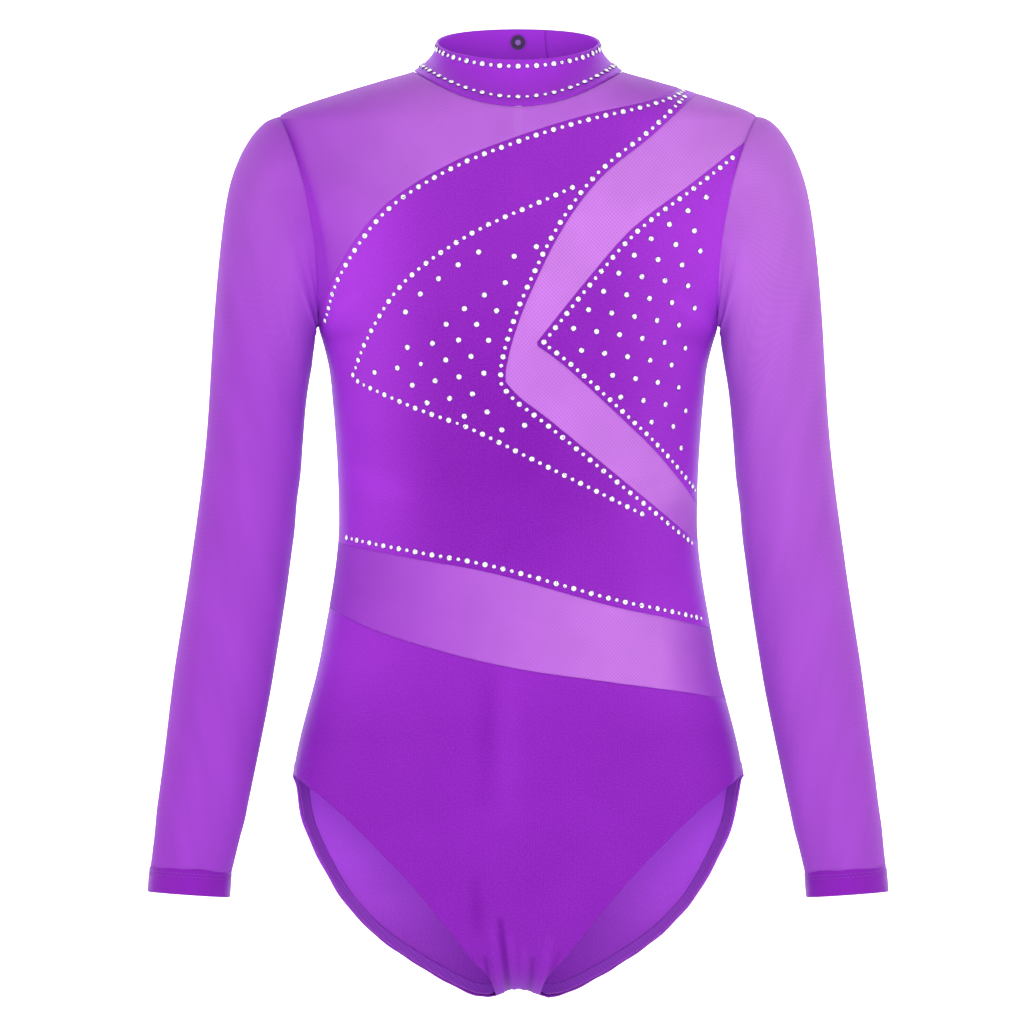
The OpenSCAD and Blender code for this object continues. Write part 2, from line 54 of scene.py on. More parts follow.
# sizes the leotard was cut to, mm
cut = dict(
    length=600, chest=258, waist=231, hip=290, chestDepth=170, waistDepth=136, hipDepth=160,
    shoulder=308, shoulderDrop=33, armhole=132, armholeDepth=100, scoop=8,
    neck=106, neckDepth=90, collarFoot=136, collarHeight=31, frontDip=24, backDip=4,
    sleeve=484, wristOut=57, wrist=52.6, cuff=16, cuffLean=4,
    satin=0.8, net=0.5, hem=1.2, tapeWidth=6, tape=0.6, layerGap=0.7,
    slitLength=125, slit=5, binding=7)
armpit = cut["shoulderDrop"] + cut["armhole"]
crotch = cut["length"]
crotchRound = 60
roundFrom = crotch - crotchRound
neckLevel = 2
clothTop = -8
footRadius = cut["collarFoot"] / 2
wide, beyond = 400, 60  # outlines run out this far past the cloth


# shape of the wearer's body under the cloth
def curve(rows, key, column=1):
    # smooth line through rows of [key, value, ...] that never overshoots
    rows = np.asarray(rows, float)
    keys, values = rows[:, 0], rows[:, column]
    slope = np.diff(values) / np.diff(keys)
    before, after = slope[:-1], slope[1:]
    both = before + after
    inner = np.where(before * after <= 0, 0, 2 * before * after / np.where(both == 0, 1, both))
    lean = np.concatenate([slope[:1], inner, slope[-1:]])
    key = np.asarray(key, float)
    i = np.clip(np.searchsorted(keys, key) - 1, 0, len(keys) - 2)
    step = keys[i + 1] - keys[i]
    u = np.clip((key - keys[i]) / step, 0, 1)
    return ((2 * u**3 - 3 * u**2 + 1) * values[i] + (u**3 - 2 * u**2 + u) * step * lean[i]
            + (3 * u**2 - 2 * u**3) * values[i + 1] + (u**3 - u**2) * step * lean[i + 1])


def shoulderRow(share, fall):
    out = footRadius + (cut["shoulder"] / 2 - footRadius) * share
    return [neckLevel + (cut["shoulderDrop"] - neckLevel) * fall, out]


shoulderLine = [[-12, footRadius - 14], shoulderRow(0, 0), shoulderRow(0.22, 0.19),
                shoulderRow(0.57, 0.48), shoulderRow(0.9, 0.79), shoulderRow(1, 0.93)]
sideLine = [
    [armpit, cut["chest"] / 2],
    [200, cut["chest"] / 2 - 8],
    [290, cut["waist"] / 2],
    [375, cut["waist"] / 2 * 0.62 + cut["hip"] / 2 * 0.38],
    [455, cut["hip"] / 2],
    [490, cut["hip"] / 2 + 3],
    [roundFrom, cut["hip"] / 2 - 5],
    [crotch, cut["hip"] / 2 - 31]]
depthLine = [  # drop, depth in front, depth behind
    [-12, footRadius - 18, footRadius - 18],
    [neckLevel, footRadius - 12, footRadius - 14],
    [cut["shoulderDrop"], cut["chestDepth"] * 0.39, cut["chestDepth"] * 0.4],
    [100, cut["chestDepth"] * 0.47, cut["chestDepth"] * 0.49],
    [armpit, cut["chestDepth"] * 0.51, cut["chestDepth"] * 0.49],
    [290, cut["waistDepth"] * 0.53, cut["waistDepth"] * 0.47],
    [375, cut["hipDepth"] * 0.46, cut["hipDepth"] * 0.47],
    [455, cut["hipDepth"] * 0.44, cut["hipDepth"] * 0.56],
    [490, cut["hipDepth"] * 0.42, cut["hipDepth"] * 0.56],
    [roundFrom, cut["hipDepth"] * 0.36, cut["hipDepth"] * 0.46],
    [crotch, cut["hipDepth"] * 0.28, cut["hipDepth"] * 0.34]]


def armOpen(drop):
    # place down the armhole, -1 to 1, and how far open it is there, 0 at its top and at the armpit
    level = np.clip((drop - cut["shoulderDrop"] - cut["armhole"] / 2) / (cut["armhole"] / 2), -1, 1)
    return level, np.sqrt(np.maximum(0, 1 - level**2))


def halfWidth(drop):
    drop = np.asarray(drop, float)
    level, openness = armOpen(drop)
    edge = (cut["shoulder"] + cut["chest"] - (cut["shoulder"] - cut["chest"]) * level) / 4
    edge = edge - cut["scoop"] * openness**2
    below = np.where(drop < armpit, edge, curve(sideLine, drop))
    return np.where(drop <= cut["shoulderDrop"], curve(shoulderLine, drop), below)


def depthAt(x, drop, side):
    # how far the cloth stands in front or behind, at a place across and a drop
    openness = armOpen(drop)[1]
    middle = np.sqrt(np.maximum(0, 1 - np.minimum(1, np.abs(x) / halfWidth(drop))**2))
    edge = cut["armholeDepth"] / 2 * openness**(1 + 3 * middle)
    under = np.sqrt(np.maximum(0, 1 - (np.maximum(0, drop - roundFrom) / (crotch - roundFrom))**2))
    depth = curve(depthLine, drop, 1 if side < 0 else 2) * under
    return edge + (depth - edge) * middle**(1 + 0.8 * openness**4)


def bodyAt(angle, drop, side):
    # cloth at an angle round the trunk, -90 to 90, and a drop below the neck; side -1 is the front
    angle, drop = np.broadcast_arrays(np.radians(angle), np.asarray(drop, float))
    x = halfWidth(drop) * np.sin(angle)
    reach = 10 * np.cos(angle) * np.clip((drop - neckLevel) / 20, 0, 1) * np.clip((240 - drop) / 30, 0, 1)
    depth = sum(weight * depthAt(x, drop + reach * way, side)
                for way, weight in ((-1, 1), (-0.5, 2), (0, 3), (0.5, 2), (1, 1))) / 9
    arch = 6 * np.exp(-(x / 14)**2) * np.clip((drop - crotch + 45) / 45, 0, 1)**2  # gathered crotch
    return np.stack([x, side * depth, arch - drop], -1)


def unit(v):
    return v / np.maximum(np.linalg.norm(v, axis=-1, keepdims=True), 1e-9)


def bodyOut(angle, drop, side):
    # direction out of the cloth
    across = bodyAt(np.minimum(90, angle + 1), drop, side) - bodyAt(np.maximum(-90, angle - 1), drop, side)
    down = bodyAt(angle, np.minimum(crotch, drop + 1.2), side) - bodyAt(angle, drop - 1.2, side)
    return unit(np.cross(across, down)) * side


def angleOf(x, drop):
    return np.degrees(np.arcsin(np.clip(x / halfWidth(drop), -1, 1)))


# soft folds in the cloth: x, z of both ends, width, height, mm
frontFolds = [
    (-6, -596, -11.5, -549, 1.7, -1.7), (-10, -596, -17, -556, 1.9, 1), (-2, -597, -5, -560, 2, 1.1),
    (3, -598, 4, -568, 1.9, 0.8), (8, -597, 9.5, -574, 1.5, -1.1), (13, -596, 20, -562, 2.2, 0.9),
    (-17, -595, -21, -573, 1.5, -1.1), (17, -595, 26, -570, 2, -0.6), (-26, -556, -28, -525, 5, -0.5),
    (-19, -396, -20, -470, 8, -0.4), (-8, -398, -8, -480, 10, 0.4),
    (-128, -168, -104, -148, 4, 0.7), (-127, -176, -100, -170, 5, -0.5),
    (128, -168, 104, -150, 4, 0.7), (127, -178, 102, -174, 5, -0.5),
    (-112, -262, -74, -276, 7, 0.5), (112, -268, 76, -282, 7, 0.5)]
backFolds = [
    (-10, -594, -24, -540, 3, 0.9), (10, -594, 24, -540, 3, 0.9), (0, -596, 0, -548, 2.4, -0.8),
    (-70, -292, 70, -296, 9, 0.8), (-80, -308, 60, -314, 8, -0.3), (-60, -322, 84, -326, 9, 0.6),
    (-126, -170, -96, -140, 5, 0.8), (126, -170, 96, -140, 5, 0.8),
    (0, -440, 0, -540, 12, -0.7)]


def folds(points, side):
    # height of the folds, mm outward; nothing where front and back meet
    x, z = points[..., 0], points[..., 2]
    height = 0 * x
    for x0, z0, x1, z1, width, tall in frontFolds if side < 0 else backFolds:
        along = np.array([x1 - x0, z1 - z0])
        t = ((x - x0) * along[0] + (z - z0) * along[1]) / (along @ along)
        gap = np.hypot(x - x0 - np.clip(t, 0, 1) * along[0], z - z0 - np.clip(t, 0, 1) * along[1])
        height = height + tall * np.exp(-(gap / width)**2) * np.clip(1.15 - np.abs(t - 0.4), 0, 1)
    return height * np.clip(np.abs(points[..., 1]) / 6, 0, 1)


def relief(points, drop, side):
    # gentle unevenness of worn cloth with its folds, mm outward
    x, z = points[..., 0], points[..., 2]
    height = 0.22 * np.sin(x / 17 + z / 43 + side) * np.sin(z / 31 - x / 71)
    height = height + 0.12 * np.sin(x / 8.3 - z / 19 + 2 * side) * np.sin(z / 13.7)
    height = height * np.clip(np.abs(points[..., 1]) / 6, 0, 1) + folds(points, side)
    return height * np.clip((drop + 4) / 20, 0, 1)


# seam lines of the front and back, points across and down
def smoothLine(points, parts=8):
    p = np.asarray(points, float)
    p = np.vstack([p[:1], p, p[-1:]])
    line = []
    for a, b, c, d in zip(p, p[1:], p[2:], p[3:]):
        for u in np.arange(parts) / parts:
            line.append(0.5 * (2 * b + (c - a) * u + (2 * a - 5 * b + 4 * c - d) * u**2
                               + (3 * b - a - 3 * c + d) * u**3))
    return np.vstack([line, p[-1:]]) * [1, -1]


def moved(line, gap):
    # the line moved sideways by gap
    ahead = np.vstack([line[1:], line[-1:]])
    behind = np.vstack([line[:1], line[:-1]])
    way = unit(ahead - behind)
    return line + gap * np.stack([way[:, 1], -way[:, 0]], -1)


arcSeam = smoothLine([[-134, 182], [-128, 168], [-118, 134], [-88, 92], [-46, 64], [-2, 46], [42, 32],
                      [84, 22], [102, 15], [108, 6]])
chevronTop = smoothLine([[122, 2], [118, 13], [88, 43], [54, 71], [29, 104], [8, 146], [-3, 175], [-8, 196]])
chevronLow = smoothLine([[-8, 203], [1, 213], [22, 229], [76, 273], [108, 299], [134, 320]])
wedgeTop = smoothLine([[152, 46], [141, 52], [112, 75], [74, 104], [44, 138], [11, 179]])
wedgeLow = smoothLine([[11, 179], [30, 193], [62, 222], [91, 250], [112, 276], [132, 304]])
waistSeam = smoothLine([[-134, 298], [-112, 307], [-63, 317], [-15, 326], [57, 346], [99, 355], [134, 364]])
briefSeam = smoothLine([[-140, 338], [-98, 360], [-48, 376], [0, 387], [55, 395], [113, 403], [150, 411]])
legFront = smoothLine([[150, 450], [143, 457], [112, 482], [68, 527], [33, 570], [18, 588], [13.5, 604]])
legBack = smoothLine([[150, 451], [144, 460], [138, 491], [118.5, 530], [100.5, 552.5], [84.5, 566.5],
                      [66.5, 578.5], [54, 586], [39, 594], [28, 598.4], [19, 600.4], [13.5, 605]])
backSeam = -205


def outline(*parts):
    return np.vstack([np.asarray(part, float).reshape(-1, 2) for part in parts])


def below(seam):
    floor = -crotch - beyond
    return outline(seam, [[wide, seam[-1][1]], [wide, floor], [-wide, floor], [-wide, seam[0][1]]])


def legHole(edge, mirrored):
    hole = outline(edge, [[edge[-1][0], -crotch - beyond], [wide, -crotch - beyond], [wide, edge[0][1]]])
    return hole * [-1, 1] if mirrored else hole


def neckHole(dip):
    turn = np.radians(np.arange(-90, 91, 3))
    level = -neckLevel - 0.05
    rim = np.stack([footRadius * np.sin(turn), level - dip * np.cos(turn)**2], -1)
    return outline(rim, [[wide, level], [wide, beyond], [-wide, beyond], [-wide, level]])


def slitHole(grow):
    turn = np.radians(np.arange(180, 361, 10))
    radius = cut["slit"] / 2 + grow
    foot = -cut["backDip"] - cut["slitLength"]
    end = np.stack([radius * np.cos(turn), foot + radius * np.sin(turn)], -1)
    return outline(end, [[radius, beyond], [-radius, beyond]])


def boxHole(x0, x1, z0, z1):
    return outline([[x0, z0], [x1, z0], [x1, z1], [x0, z1]])


aboveArc = outline(arcSeam, [[102, beyond], [-wide, beyond], [-wide, -182]])
rightOfChevron = outline(chevronTop, chevronLow, [[wide, -320], [wide, beyond], [112, beyond]])
wedgeOutline = outline(wedgeTop, wedgeLow, [[wide, -304], [wide, -46]])


def signedGap(spots, shape):
    # distance to an outline's edge, positive inside it
    gap = np.full(len(spots), 1e9)
    inside = np.zeros(len(spots), bool)
    for p, q in zip(shape, np.roll(shape, -1, 0)):
        way = q - p
        if way @ way < 1e-12:
            continue
        off = spots - p
        t = np.clip(off @ way / (way @ way), 0, 1)
        gap = np.minimum(gap, np.linalg.norm(off - t[:, None] * way, axis=1))
        crosses = (p[1] > spots[:, 1]) != (q[1] > spots[:, 1])
        rise = way[1] if way[1] else 1e-9
        inside ^= crosses & (spots[:, 0] < p[0] + way[0] * (spots[:, 1] - p[1]) / rise)
    return np.where(inside, gap, -gap)


# the fine grid of cloth that every panel is cut from
rowDrops = np.concatenate([
    np.linspace(clothTop, cut["shoulderDrop"], 17)[:-1],
    cut["shoulderDrop"] + cut["armhole"] * (1 - np.cos(np.linspace(0, np.pi, 61))) / 2,
    np.linspace(armpit, roundFrom, 150)[1:],
    roundFrom + crotchRound * np.sin(np.linspace(0, np.pi / 2, 37)[1:])])
columnShare = np.linspace(-1, 1, 205)
columnAngles = 90 * (0.55 * columnShare + 0.45 * columnShare**3)


def clothTables(side):
    # developed width and length at each grid point, for the weave's scale
    grid = bodyAt(columnAngles[None, :], rowDrops[:, None], side)
    acrossStep = np.linalg.norm(np.diff(grid, axis=1), axis=2)
    across = np.concatenate([np.zeros((len(rowDrops), 1)), np.cumsum(acrossStep, 1)], 1)
    across -= across[:, [len(columnAngles) // 2]]
    downStep = np.linalg.norm(np.diff(grid, axis=0), axis=2)
    down = np.concatenate([np.zeros((1, len(columnAngles))), np.cumsum(downStep, 0)], 0)
    return across, down


tables = {-1: clothTables(-1), 1: clothTables(1)}


def readTable(table, angle, drop):
    row = np.interp(drop, rowDrops, np.arange(len(rowDrops)))
    column = np.interp(angle, columnAngles, np.arange(len(columnAngles)))
    i = np.minimum(row.astype(int), len(rowDrops) - 2)
    j = np.minimum(column.astype(int), len(columnAngles) - 2)
    u, v = row - i, column - j
    return ((1 - u) * (1 - v) * table[i, j] + u * (1 - v) * table[i + 1, j]
            + (1 - u) * v * table[i, j + 1] + u * v * table[i + 1, j + 1])


def spotsOf(points):
    # where grid points lie seen from the front
    angle, drop = points.T
    return np.stack([halfWidth(drop) * np.sin(np.radians(angle)), -drop], -1)


def cutCloth(points, faces, shape, sign, level=0.0, keepOutside=False):
    # cuts the faces along an outline, or splits them along a line at level from it
    values = signedGap(spotsOf(points), shape) * sign - level
    values[np.abs(values) < 0.03] = 0
    value = values.tolist()
    fresh, seen, kept = [], {}, []

    def crossing(i, j):
        key = (min(i, j), max(i, j))
        if key not in seen:
            a, b = key
            seen[key] = len(points) + len(fresh)
            fresh.append(points[a] + (points[b] - points[a]) * value[a] / (value[a] - value[b]))
        return seen[key]

    for face in faces:
        low, high = min(value[i] for i in face), max(value[i] for i in face)
        if low >= 0 or (high <= 0 and keepOutside):
            kept.append(face)
        elif high > 0:
            for way in (1, -1) if keepOutside else (1,):
                part = []
                for i, j in zip(face, face[1:] + face[:1]):
                    if value[i] * way >= 0:
                        part.append(i)
                    if value[i] * value[j] < 0:
                        part.append(crossing(i, j))
                if len(part) > 2:
                    kept.append(tuple(part))
    return (np.vstack([points, fresh]) if fresh else points), kept


def startGrid(keep):
    rows, columns = len(rowDrops), len(columnAngles)
    angle, drop = np.meshgrid(columnAngles, rowDrops)
    points = np.stack([angle.ravel(), drop.ravel()], -1)
    i, j = np.meshgrid(np.arange(rows - 1), np.arange(columns - 1), indexing="ij")
    first = (i * columns + j).ravel()
    quads = np.stack([first, first + columns, first + columns + 1, first + 1], -1)
    spots = spotsOf(points)
    for shape, sign in keep:
        quads = quads[(signedGap(spots, shape) * sign)[quads].max(1) > 0]
    return points, [tuple(quad) for quad in quads.tolist()]


def tidyPoints(points, faces):
    used = sorted({i for face in faces for i in face})
    renamed = {old: new for new, old in enumerate(used)}
    return points[used], [tuple(renamed[i] for i in face) for face in faces]


def thicken(outer, inner, faces):
    # closed cloth from its outer and inner face
    n = len(outer)
    edges = {(i, j) for face in faces for i, j in zip(face, face[1:] + face[:1])}
    rim = [(j, i, i + n, j + n) for i, j in edges if (j, i) not in edges]
    back = [tuple(i + n for i in reversed(face)) for face in faces]
    return np.vstack([outer, inner]), faces + back + sorted(rim)


def newPiece(name, points, faces, uv=None, material=None, spread=None, recalc=False):
    mesh = bpy.data.meshes.new(name)
    mesh.from_pydata((np.asarray(points) * mm).tolist(), [], faces)
    if recalc:
        work = bmesh.new()
        work.from_mesh(mesh)
        bmesh.ops.recalc_face_normals(work, faces=work.faces)
        work.to_mesh(mesh)
        work.free()
    if uv is not None:
        corners = np.zeros(len(mesh.loops), int)
        mesh.loops.foreach_get("vertex_index", corners)
        mesh.uv_layers.new(name="cloth").data.foreach_set("uv", (np.asarray(uv) * mm)[corners].ravel())
    if spread is not None:
        mesh.attributes.new("stretch", "FLOAT", "POINT").data.foreach_set("value", np.asarray(spread, float))
    mesh.polygons.foreach_set("use_smooth", [True] * len(mesh.polygons))
    piece = bpy.data.objects.new(name, mesh)
    bpy.context.collection.objects.link(piece)
    if material:
        mesh.materials.append(material)
    return piece


def measureCut(piece, flat):
    # area of the cut piece and the smallest rectangle of cloth that it is cut from, in metres
    boxes = []
    for turn in np.radians(np.arange(0, 90, 3)):
        turned = flat @ [[np.cos(turn), -np.sin(turn)], [np.sin(turn), np.cos(turn)]]
        boxes.append(turned.max(0) - turned.min(0))
    width, length = min(boxes, key=lambda box: box[0] * box[1]) * mm
    piece["cutSize"] = [float(width), float(length), sum(face.area for face in piece.data.polygons) / 2]


def panel(name, side, keep, thick, material, lift=0.0, steps=(1.2, 3.0), sink=0.4, hems=(), spread=None,
          backing=None, paintedLightInside=None):
    # one cut panel: keep lists (outline, +1 inside or -1 outside); seams sink a little, hems stand up;
    # spread gives the outside its painted light and shade over the cloth, and the second function the inside
    # where that differs
    points, faces = startGrid(keep)
    for shape, sign in keep:
        points, faces = cutCloth(points, faces, shape, sign)
    for shape, sign in keep:
        for level in steps:
            points, faces = cutCloth(points, faces, shape, sign, level, True)
    for shape, sign, width, _ in hems:
        for level in (width - 0.5, width + 0.5):
            points, faces = cutCloth(points, faces, shape, sign, level, True)
    points, faces = tidyPoints(points, faces)
    if side > 0:
        faces = [tuple(reversed(face)) for face in faces]
    angle, drop = points.T
    spots = spotsOf(points)
    base, out = bodyAt(angle, drop, side), bodyOut(angle, drop, side)
    height = lift + relief(base, drop, side)
    across, down = readTable(tables[side][0], angle, drop), readTable(tables[side][1], angle, drop)
    edge = readTable(tables[side][0], np.full(len(drop), 90.0), drop) - np.abs(across)
    hemmed = np.zeros(len(drop))
    for shape, sign, width, tall in hems:
        gap = signedGap(spots, shape) * sign
        turned = np.clip((width - gap) / 0.5 + 0.5, 0, 1)
        hemmed = np.maximum(hemmed, turned)
        ripple = 0.25 * np.sin(across / 2.9) * np.exp(-np.maximum(gap, 0) / 8)
        height = height + tall * turned + ripple
    for shape, sign in keep:
        gap = signedGap(spots, shape) * sign
        height = height - sink * np.exp(-(gap / 1.1)**2) * (1 - hemmed)
    height = height - 0.5 * sink * np.exp(-(edge / 1.2)**2)
    outer = base + height[:, None] * out
    inner = base + (height - thick)[:, None] * out
    seam = np.abs(base[:, 1]) < 1e-4
    outer[seam, 1] = inner[seam, 1] = 0
    paintedLight = None
    if spread:
        # painted light and shade over the cloth from the tone functions, with painted shade in the fold
        # creases and a little painted light on their ridges
        creaseShade = 0.35 * np.clip(folds(base, side), -1, 0.3)
        paintedLights = [shade(*spots.T) + creaseShade for shade in (spread, paintedLightInside or spread)]
        paintedLight = np.clip(np.concatenate(paintedLights), 0, 1)
    cloth, closed = thicken(outer, inner, faces)
    piece = newPiece(name, cloth, closed, np.tile(np.stack([across, -drop], -1), (2, 1)), material, paintedLight)
    if backing:
        piece.data.materials.append(backing)
        piece.data.polygons.foreach_set("material_index", [0] * len(faces) + [1] * (len(closed) - len(faces)))
    measureCut(piece, np.stack([across, down], -1))
    return piece


def foldedBand(name, sections, closed, material, uv):
    # cloth folded double: sections are loops of points, outer face first and back along the inner face
    count, size = sections.shape[:2]
    faces = []
    for k in range(count if closed else count - 1):
        n = (k + 1) % count
        for i in range(size):
            j = (i + 1) % size
            faces.append((k * size + i, k * size + j, n * size + j, n * size + i))
    if not closed:
        for k in (0, (count - 1) * size):
            for i in range(size // 2 - 1):
                faces.append((k + i, k + i + 1, k + size - 2 - i, k + size - 1 - i))
    return newPiece(name, sections.reshape(-1, 3), faces, uv.reshape(-1, 2), material, recalc=True)


# materials
def linear(code):
    parts = [int(code[i:i + 2], 16) / 255 for i in (1, 3, 5)]
    return [c / 12.92 if c <= 0.04045 else ((c + 0.055) / 1.055)**2.4 for c in parts] + [1]


def addNode(tree, kind, inputs=None, **settings):
    node = tree.nodes.new("ShaderNode" + kind)
    for key, value in settings.items():
        setattr(node, key, value)
    for key, value in (inputs or {}).items():
        if isinstance(value, bpy.types.NodeSocket):
            tree.links.new(value, node.inputs[key])
        else:
            node.inputs[key].default_value = value
    return node


def startMaterial(name):
    material = bpy.data.materials.new(name)
    material.use_nodes = True
    tree = material.node_tree
    tree.nodes.clear()
    shader = addNode(tree, "BsdfPrincipled")
    addNode(tree, "OutputMaterial", {"Surface": shader.outputs[0]})
    return material, tree, shader


def addShine(shader, look, spreadOut):
    # the coloured shine of dyed filament, in the sheen and in the gloss
    shader.inputs["Sheen Weight"].default_value = look["sheen"]
    shader.inputs["Sheen Roughness"].default_value = spreadOut
    shader.inputs["Sheen Tint"].default_value = linear(look["shine"])
    shader.inputs["Specular IOR Level"].default_value = look["gloss"]
    shader.inputs["Specular Tint"].default_value = linear(look["shine"])


satinLook = dict(deep="#7E1EA8", bright="#B240E2", shine="#A22CF0", gloss=0.3, sheen=0.3, rough=0.46,
                 waleMm=0.9, grainMm=1.1, cloudMm=42, cloudy=0.25, bump=0.12)


def satinMaterial(name, look):
    # warp-knitted nylon and elastane, heat set: a soft broad sheen over fine upright wales,
    # with painted light and shade in its colour: brighter round the sides, darker in the middle and in
    # creases
    material, tree, shader = startMaterial(name)
    cloth = addNode(tree, "UVMap", uv_map="cloth").outputs[0]
    stretch = addNode(tree, "Attribute", attribute_name="stretch").outputs["Fac"]
    wales = addNode(tree, "TexWave", {"Vector": cloth, "Scale": 1000 / look["waleMm"] / 6.283,
                                      "Distortion": 1.2, "Detail": 1.0, "Detail Scale": 2.0},
                    wave_type="BANDS", bands_direction="X")
    grain = addNode(tree, "TexNoise", {"Vector": cloth, "Scale": 1000 / look["grainMm"], "Detail": 2.0})
    cloud = addNode(tree, "TexNoise", {"Vector": cloth, "Scale": 1000 / look["cloudMm"], "Detail": 3.0})
    mottled = addNode(tree, "Math", {0: cloud.outputs[0], 1: look["cloudy"], 2: grain.outputs[0]},
                      operation="MULTIPLY_ADD")
    uneven = addNode(tree, "MapRange", {"Value": mottled.outputs[0], "To Min": -0.35, "To Max": 0.35,
                                        "From Min": look["cloudy"] / 2, "From Max": look["cloudy"] / 2 + 1})
    # share of the bright tone: painted light and shade over the cloth, with random mottling
    share = addNode(tree, "Math", {0: stretch, 1: uneven.outputs[0]}, operation="ADD", use_clamp=True)
    tone = addNode(tree, "Mix", {"Factor": share.outputs[0], "A": linear(look["deep"]),
                                 "B": linear(look["bright"])}, data_type="RGBA")
    tree.links.new(tone.outputs[2], shader.inputs["Base Color"])
    height = addNode(tree, "Math", {0: wales.outputs[1], 1: grain.outputs[0]}, operation="ADD")
    bump = addNode(tree, "Bump", {"Height": height.outputs[0], "Strength": look["bump"], "Distance": 0.0003})
    tree.links.new(bump.outputs[0], shader.inputs["Normal"])
    rough = addNode(tree, "MapRange", {"Value": grain.outputs[0], "From Min": 0.3, "From Max": 0.7,
                                       "To Min": look["rough"] - 0.05, "To Max": look["rough"] + 0.06})
    tree.links.new(rough.outputs[0], shader.inputs["Roughness"])
    addShine(shader, look, 0.45)
    return material


netLook = dict(thread="#9B36CA", pale="#DA8CEE", shine="#B860FF", gloss=0.3, sheen=0.15, rough=0.62,
               pitchMm=1.75, closedAlpha=0.98, openAlpha=0.86, evenness=0.02, openness=0.27, bump=0.12)


def netMaterial(name, look):
    # stretch net: fine slanted threads with tiny openings, more open where it is stretched further; its
    # paleness is stretch together with painted light and shade of the cloth seen through it.
    # Its real openings are about 0.8 mm; they are drawn at 1.75 mm so that they can be seen
    material, tree, shader = startMaterial(name)
    cloth = addNode(tree, "UVMap", uv_map="cloth").outputs[0]
    split = addNode(tree, "SeparateXYZ", {0: cloth})
    stretch = addNode(tree, "Attribute", attribute_name="stretch").outputs["Fac"]
    ribs = []
    for way, weight in ((1.0, 1.0), (-0.82, 0.55)):
        slanted = addNode(tree, "Math", {0: split.outputs[1], 1: way, 2: split.outputs[0]},
                          operation="MULTIPLY_ADD")
        turns = addNode(tree, "Math", {0: slanted.outputs[0], 1: 1000 * 6.283 / look["pitchMm"] / 1.414},
                        operation="MULTIPLY")
        wave = addNode(tree, "Math", {0: turns.outputs[0]}, operation="COSINE")
        ribs.append(addNode(tree, "Math", {0: wave.outputs[0], 1: weight * 0.5, 2: weight * 0.5},
                            operation="MULTIPLY_ADD").outputs[0])
    threads = addNode(tree, "Math", {0: ribs[0], 1: ribs[1]}, operation="ADD", use_clamp=True).outputs[0]
    cloud = addNode(tree, "TexNoise", {"Vector": cloth, "Scale": 26.0, "Detail": 3.0}).outputs[0]
    # paler where the net is stretched and where painted light falls, darker with painted shade
    tone = addNode(tree, "Mix", {"Factor": stretch, "A": linear(look["thread"]), "B": linear(look["pale"])},
                   data_type="RGBA").outputs[2]
    squared = addNode(tree, "Math", {0: stretch, 1: stretch}, operation="MULTIPLY").outputs[0]
    depth = addNode(tree, "Math", {0: squared, 1: look["openness"], 2: look["evenness"]},
                    operation="MULTIPLY_ADD").outputs[0]
    centred = addNode(tree, "Math", {0: threads, 1: 0.5}, operation="SUBTRACT").outputs[0]
    shaded = addNode(tree, "Math", {0: centred, 1: depth, 2: 1.0}, operation="MULTIPLY_ADD").outputs[0]
    clouded = addNode(tree, "MapRange", {"Value": cloud, "From Min": 0.3, "From Max": 0.7,
                                         "To Min": 0.95, "To Max": 1.05}).outputs[0]
    both = addNode(tree, "Math", {0: shaded, 1: clouded}, operation="MULTIPLY").outputs[0]
    colour = addNode(tree, "Mix", {"Factor": 1.0, "A": tone, "B": both}, data_type="RGBA",
                     blend_type="MULTIPLY").outputs[2]
    tree.links.new(colour, shader.inputs["Base Color"])
    solid = addNode(tree, "MapRange", {"Value": stretch, "To Min": look["closedAlpha"],
                                       "To Max": look["openAlpha"]}).outputs[0]
    holes = addNode(tree, "MapRange", {"Value": threads, "To Min": 0.94, "To Max": 1.0}).outputs[0]
    alpha = addNode(tree, "Math", {0: solid, 1: holes}, operation="MULTIPLY", use_clamp=True).outputs[0]
    tree.links.new(alpha, shader.inputs["Alpha"])
    bump = addNode(tree, "Bump", {"Height": threads, "Strength": look["bump"], "Distance": 0.0003})
    tree.links.new(bump.outputs[0], shader.inputs["Normal"])
    shader.inputs["Roughness"].default_value = look["rough"]
    addShine(shader, look, 0.5)
    return material


tapeLook = dict(dark="#8430AE", light="#A84AD8", ribMm=0.9, rough=0.7, bump=0.25)


def tapeMaterial(name, look):
    # woven polyester tape and covered elastic: matt, with cross ribs
    material, tree, shader = startMaterial(name)
    cloth = addNode(tree, "UVMap", uv_map="cloth").outputs[0]
    rib = addNode(tree, "TexWave", {"Vector": cloth, "Scale": 1000 / look["ribMm"] / 6.283,
                                    "Distortion": 0.6}, wave_type="BANDS", bands_direction="DIAGONAL")
    fuzz = addNode(tree, "TexNoise", {"Vector": cloth, "Scale": 900.0, "Detail": 2.0})
    # the colour follows the ribs' height: painted shade in the grooves between the ribs
    share = addNode(tree, "Math", {0: rib.outputs[1], 1: fuzz.outputs[0]}, operation="MULTIPLY")
    tone = addNode(tree, "Mix", {"Factor": share.outputs[0], "A": linear(look["dark"]),
                                 "B": linear(look["light"])}, data_type="RGBA")
    tree.links.new(tone.outputs[2], shader.inputs["Base Color"])
    bump = addNode(tree, "Bump", {"Height": rib.outputs[1], "Strength": look["bump"], "Distance": 0.0004})
    tree.links.new(bump.outputs[0], shader.inputs["Normal"])
    shader.inputs["Roughness"].default_value = look["rough"]
    return material


studLook = dict(deep="#35124A", light="#6B3590", centre="#9A62C4", centreMm=1.6, rimMm=4.3, speckMm=0.5,
                rough=0.45)


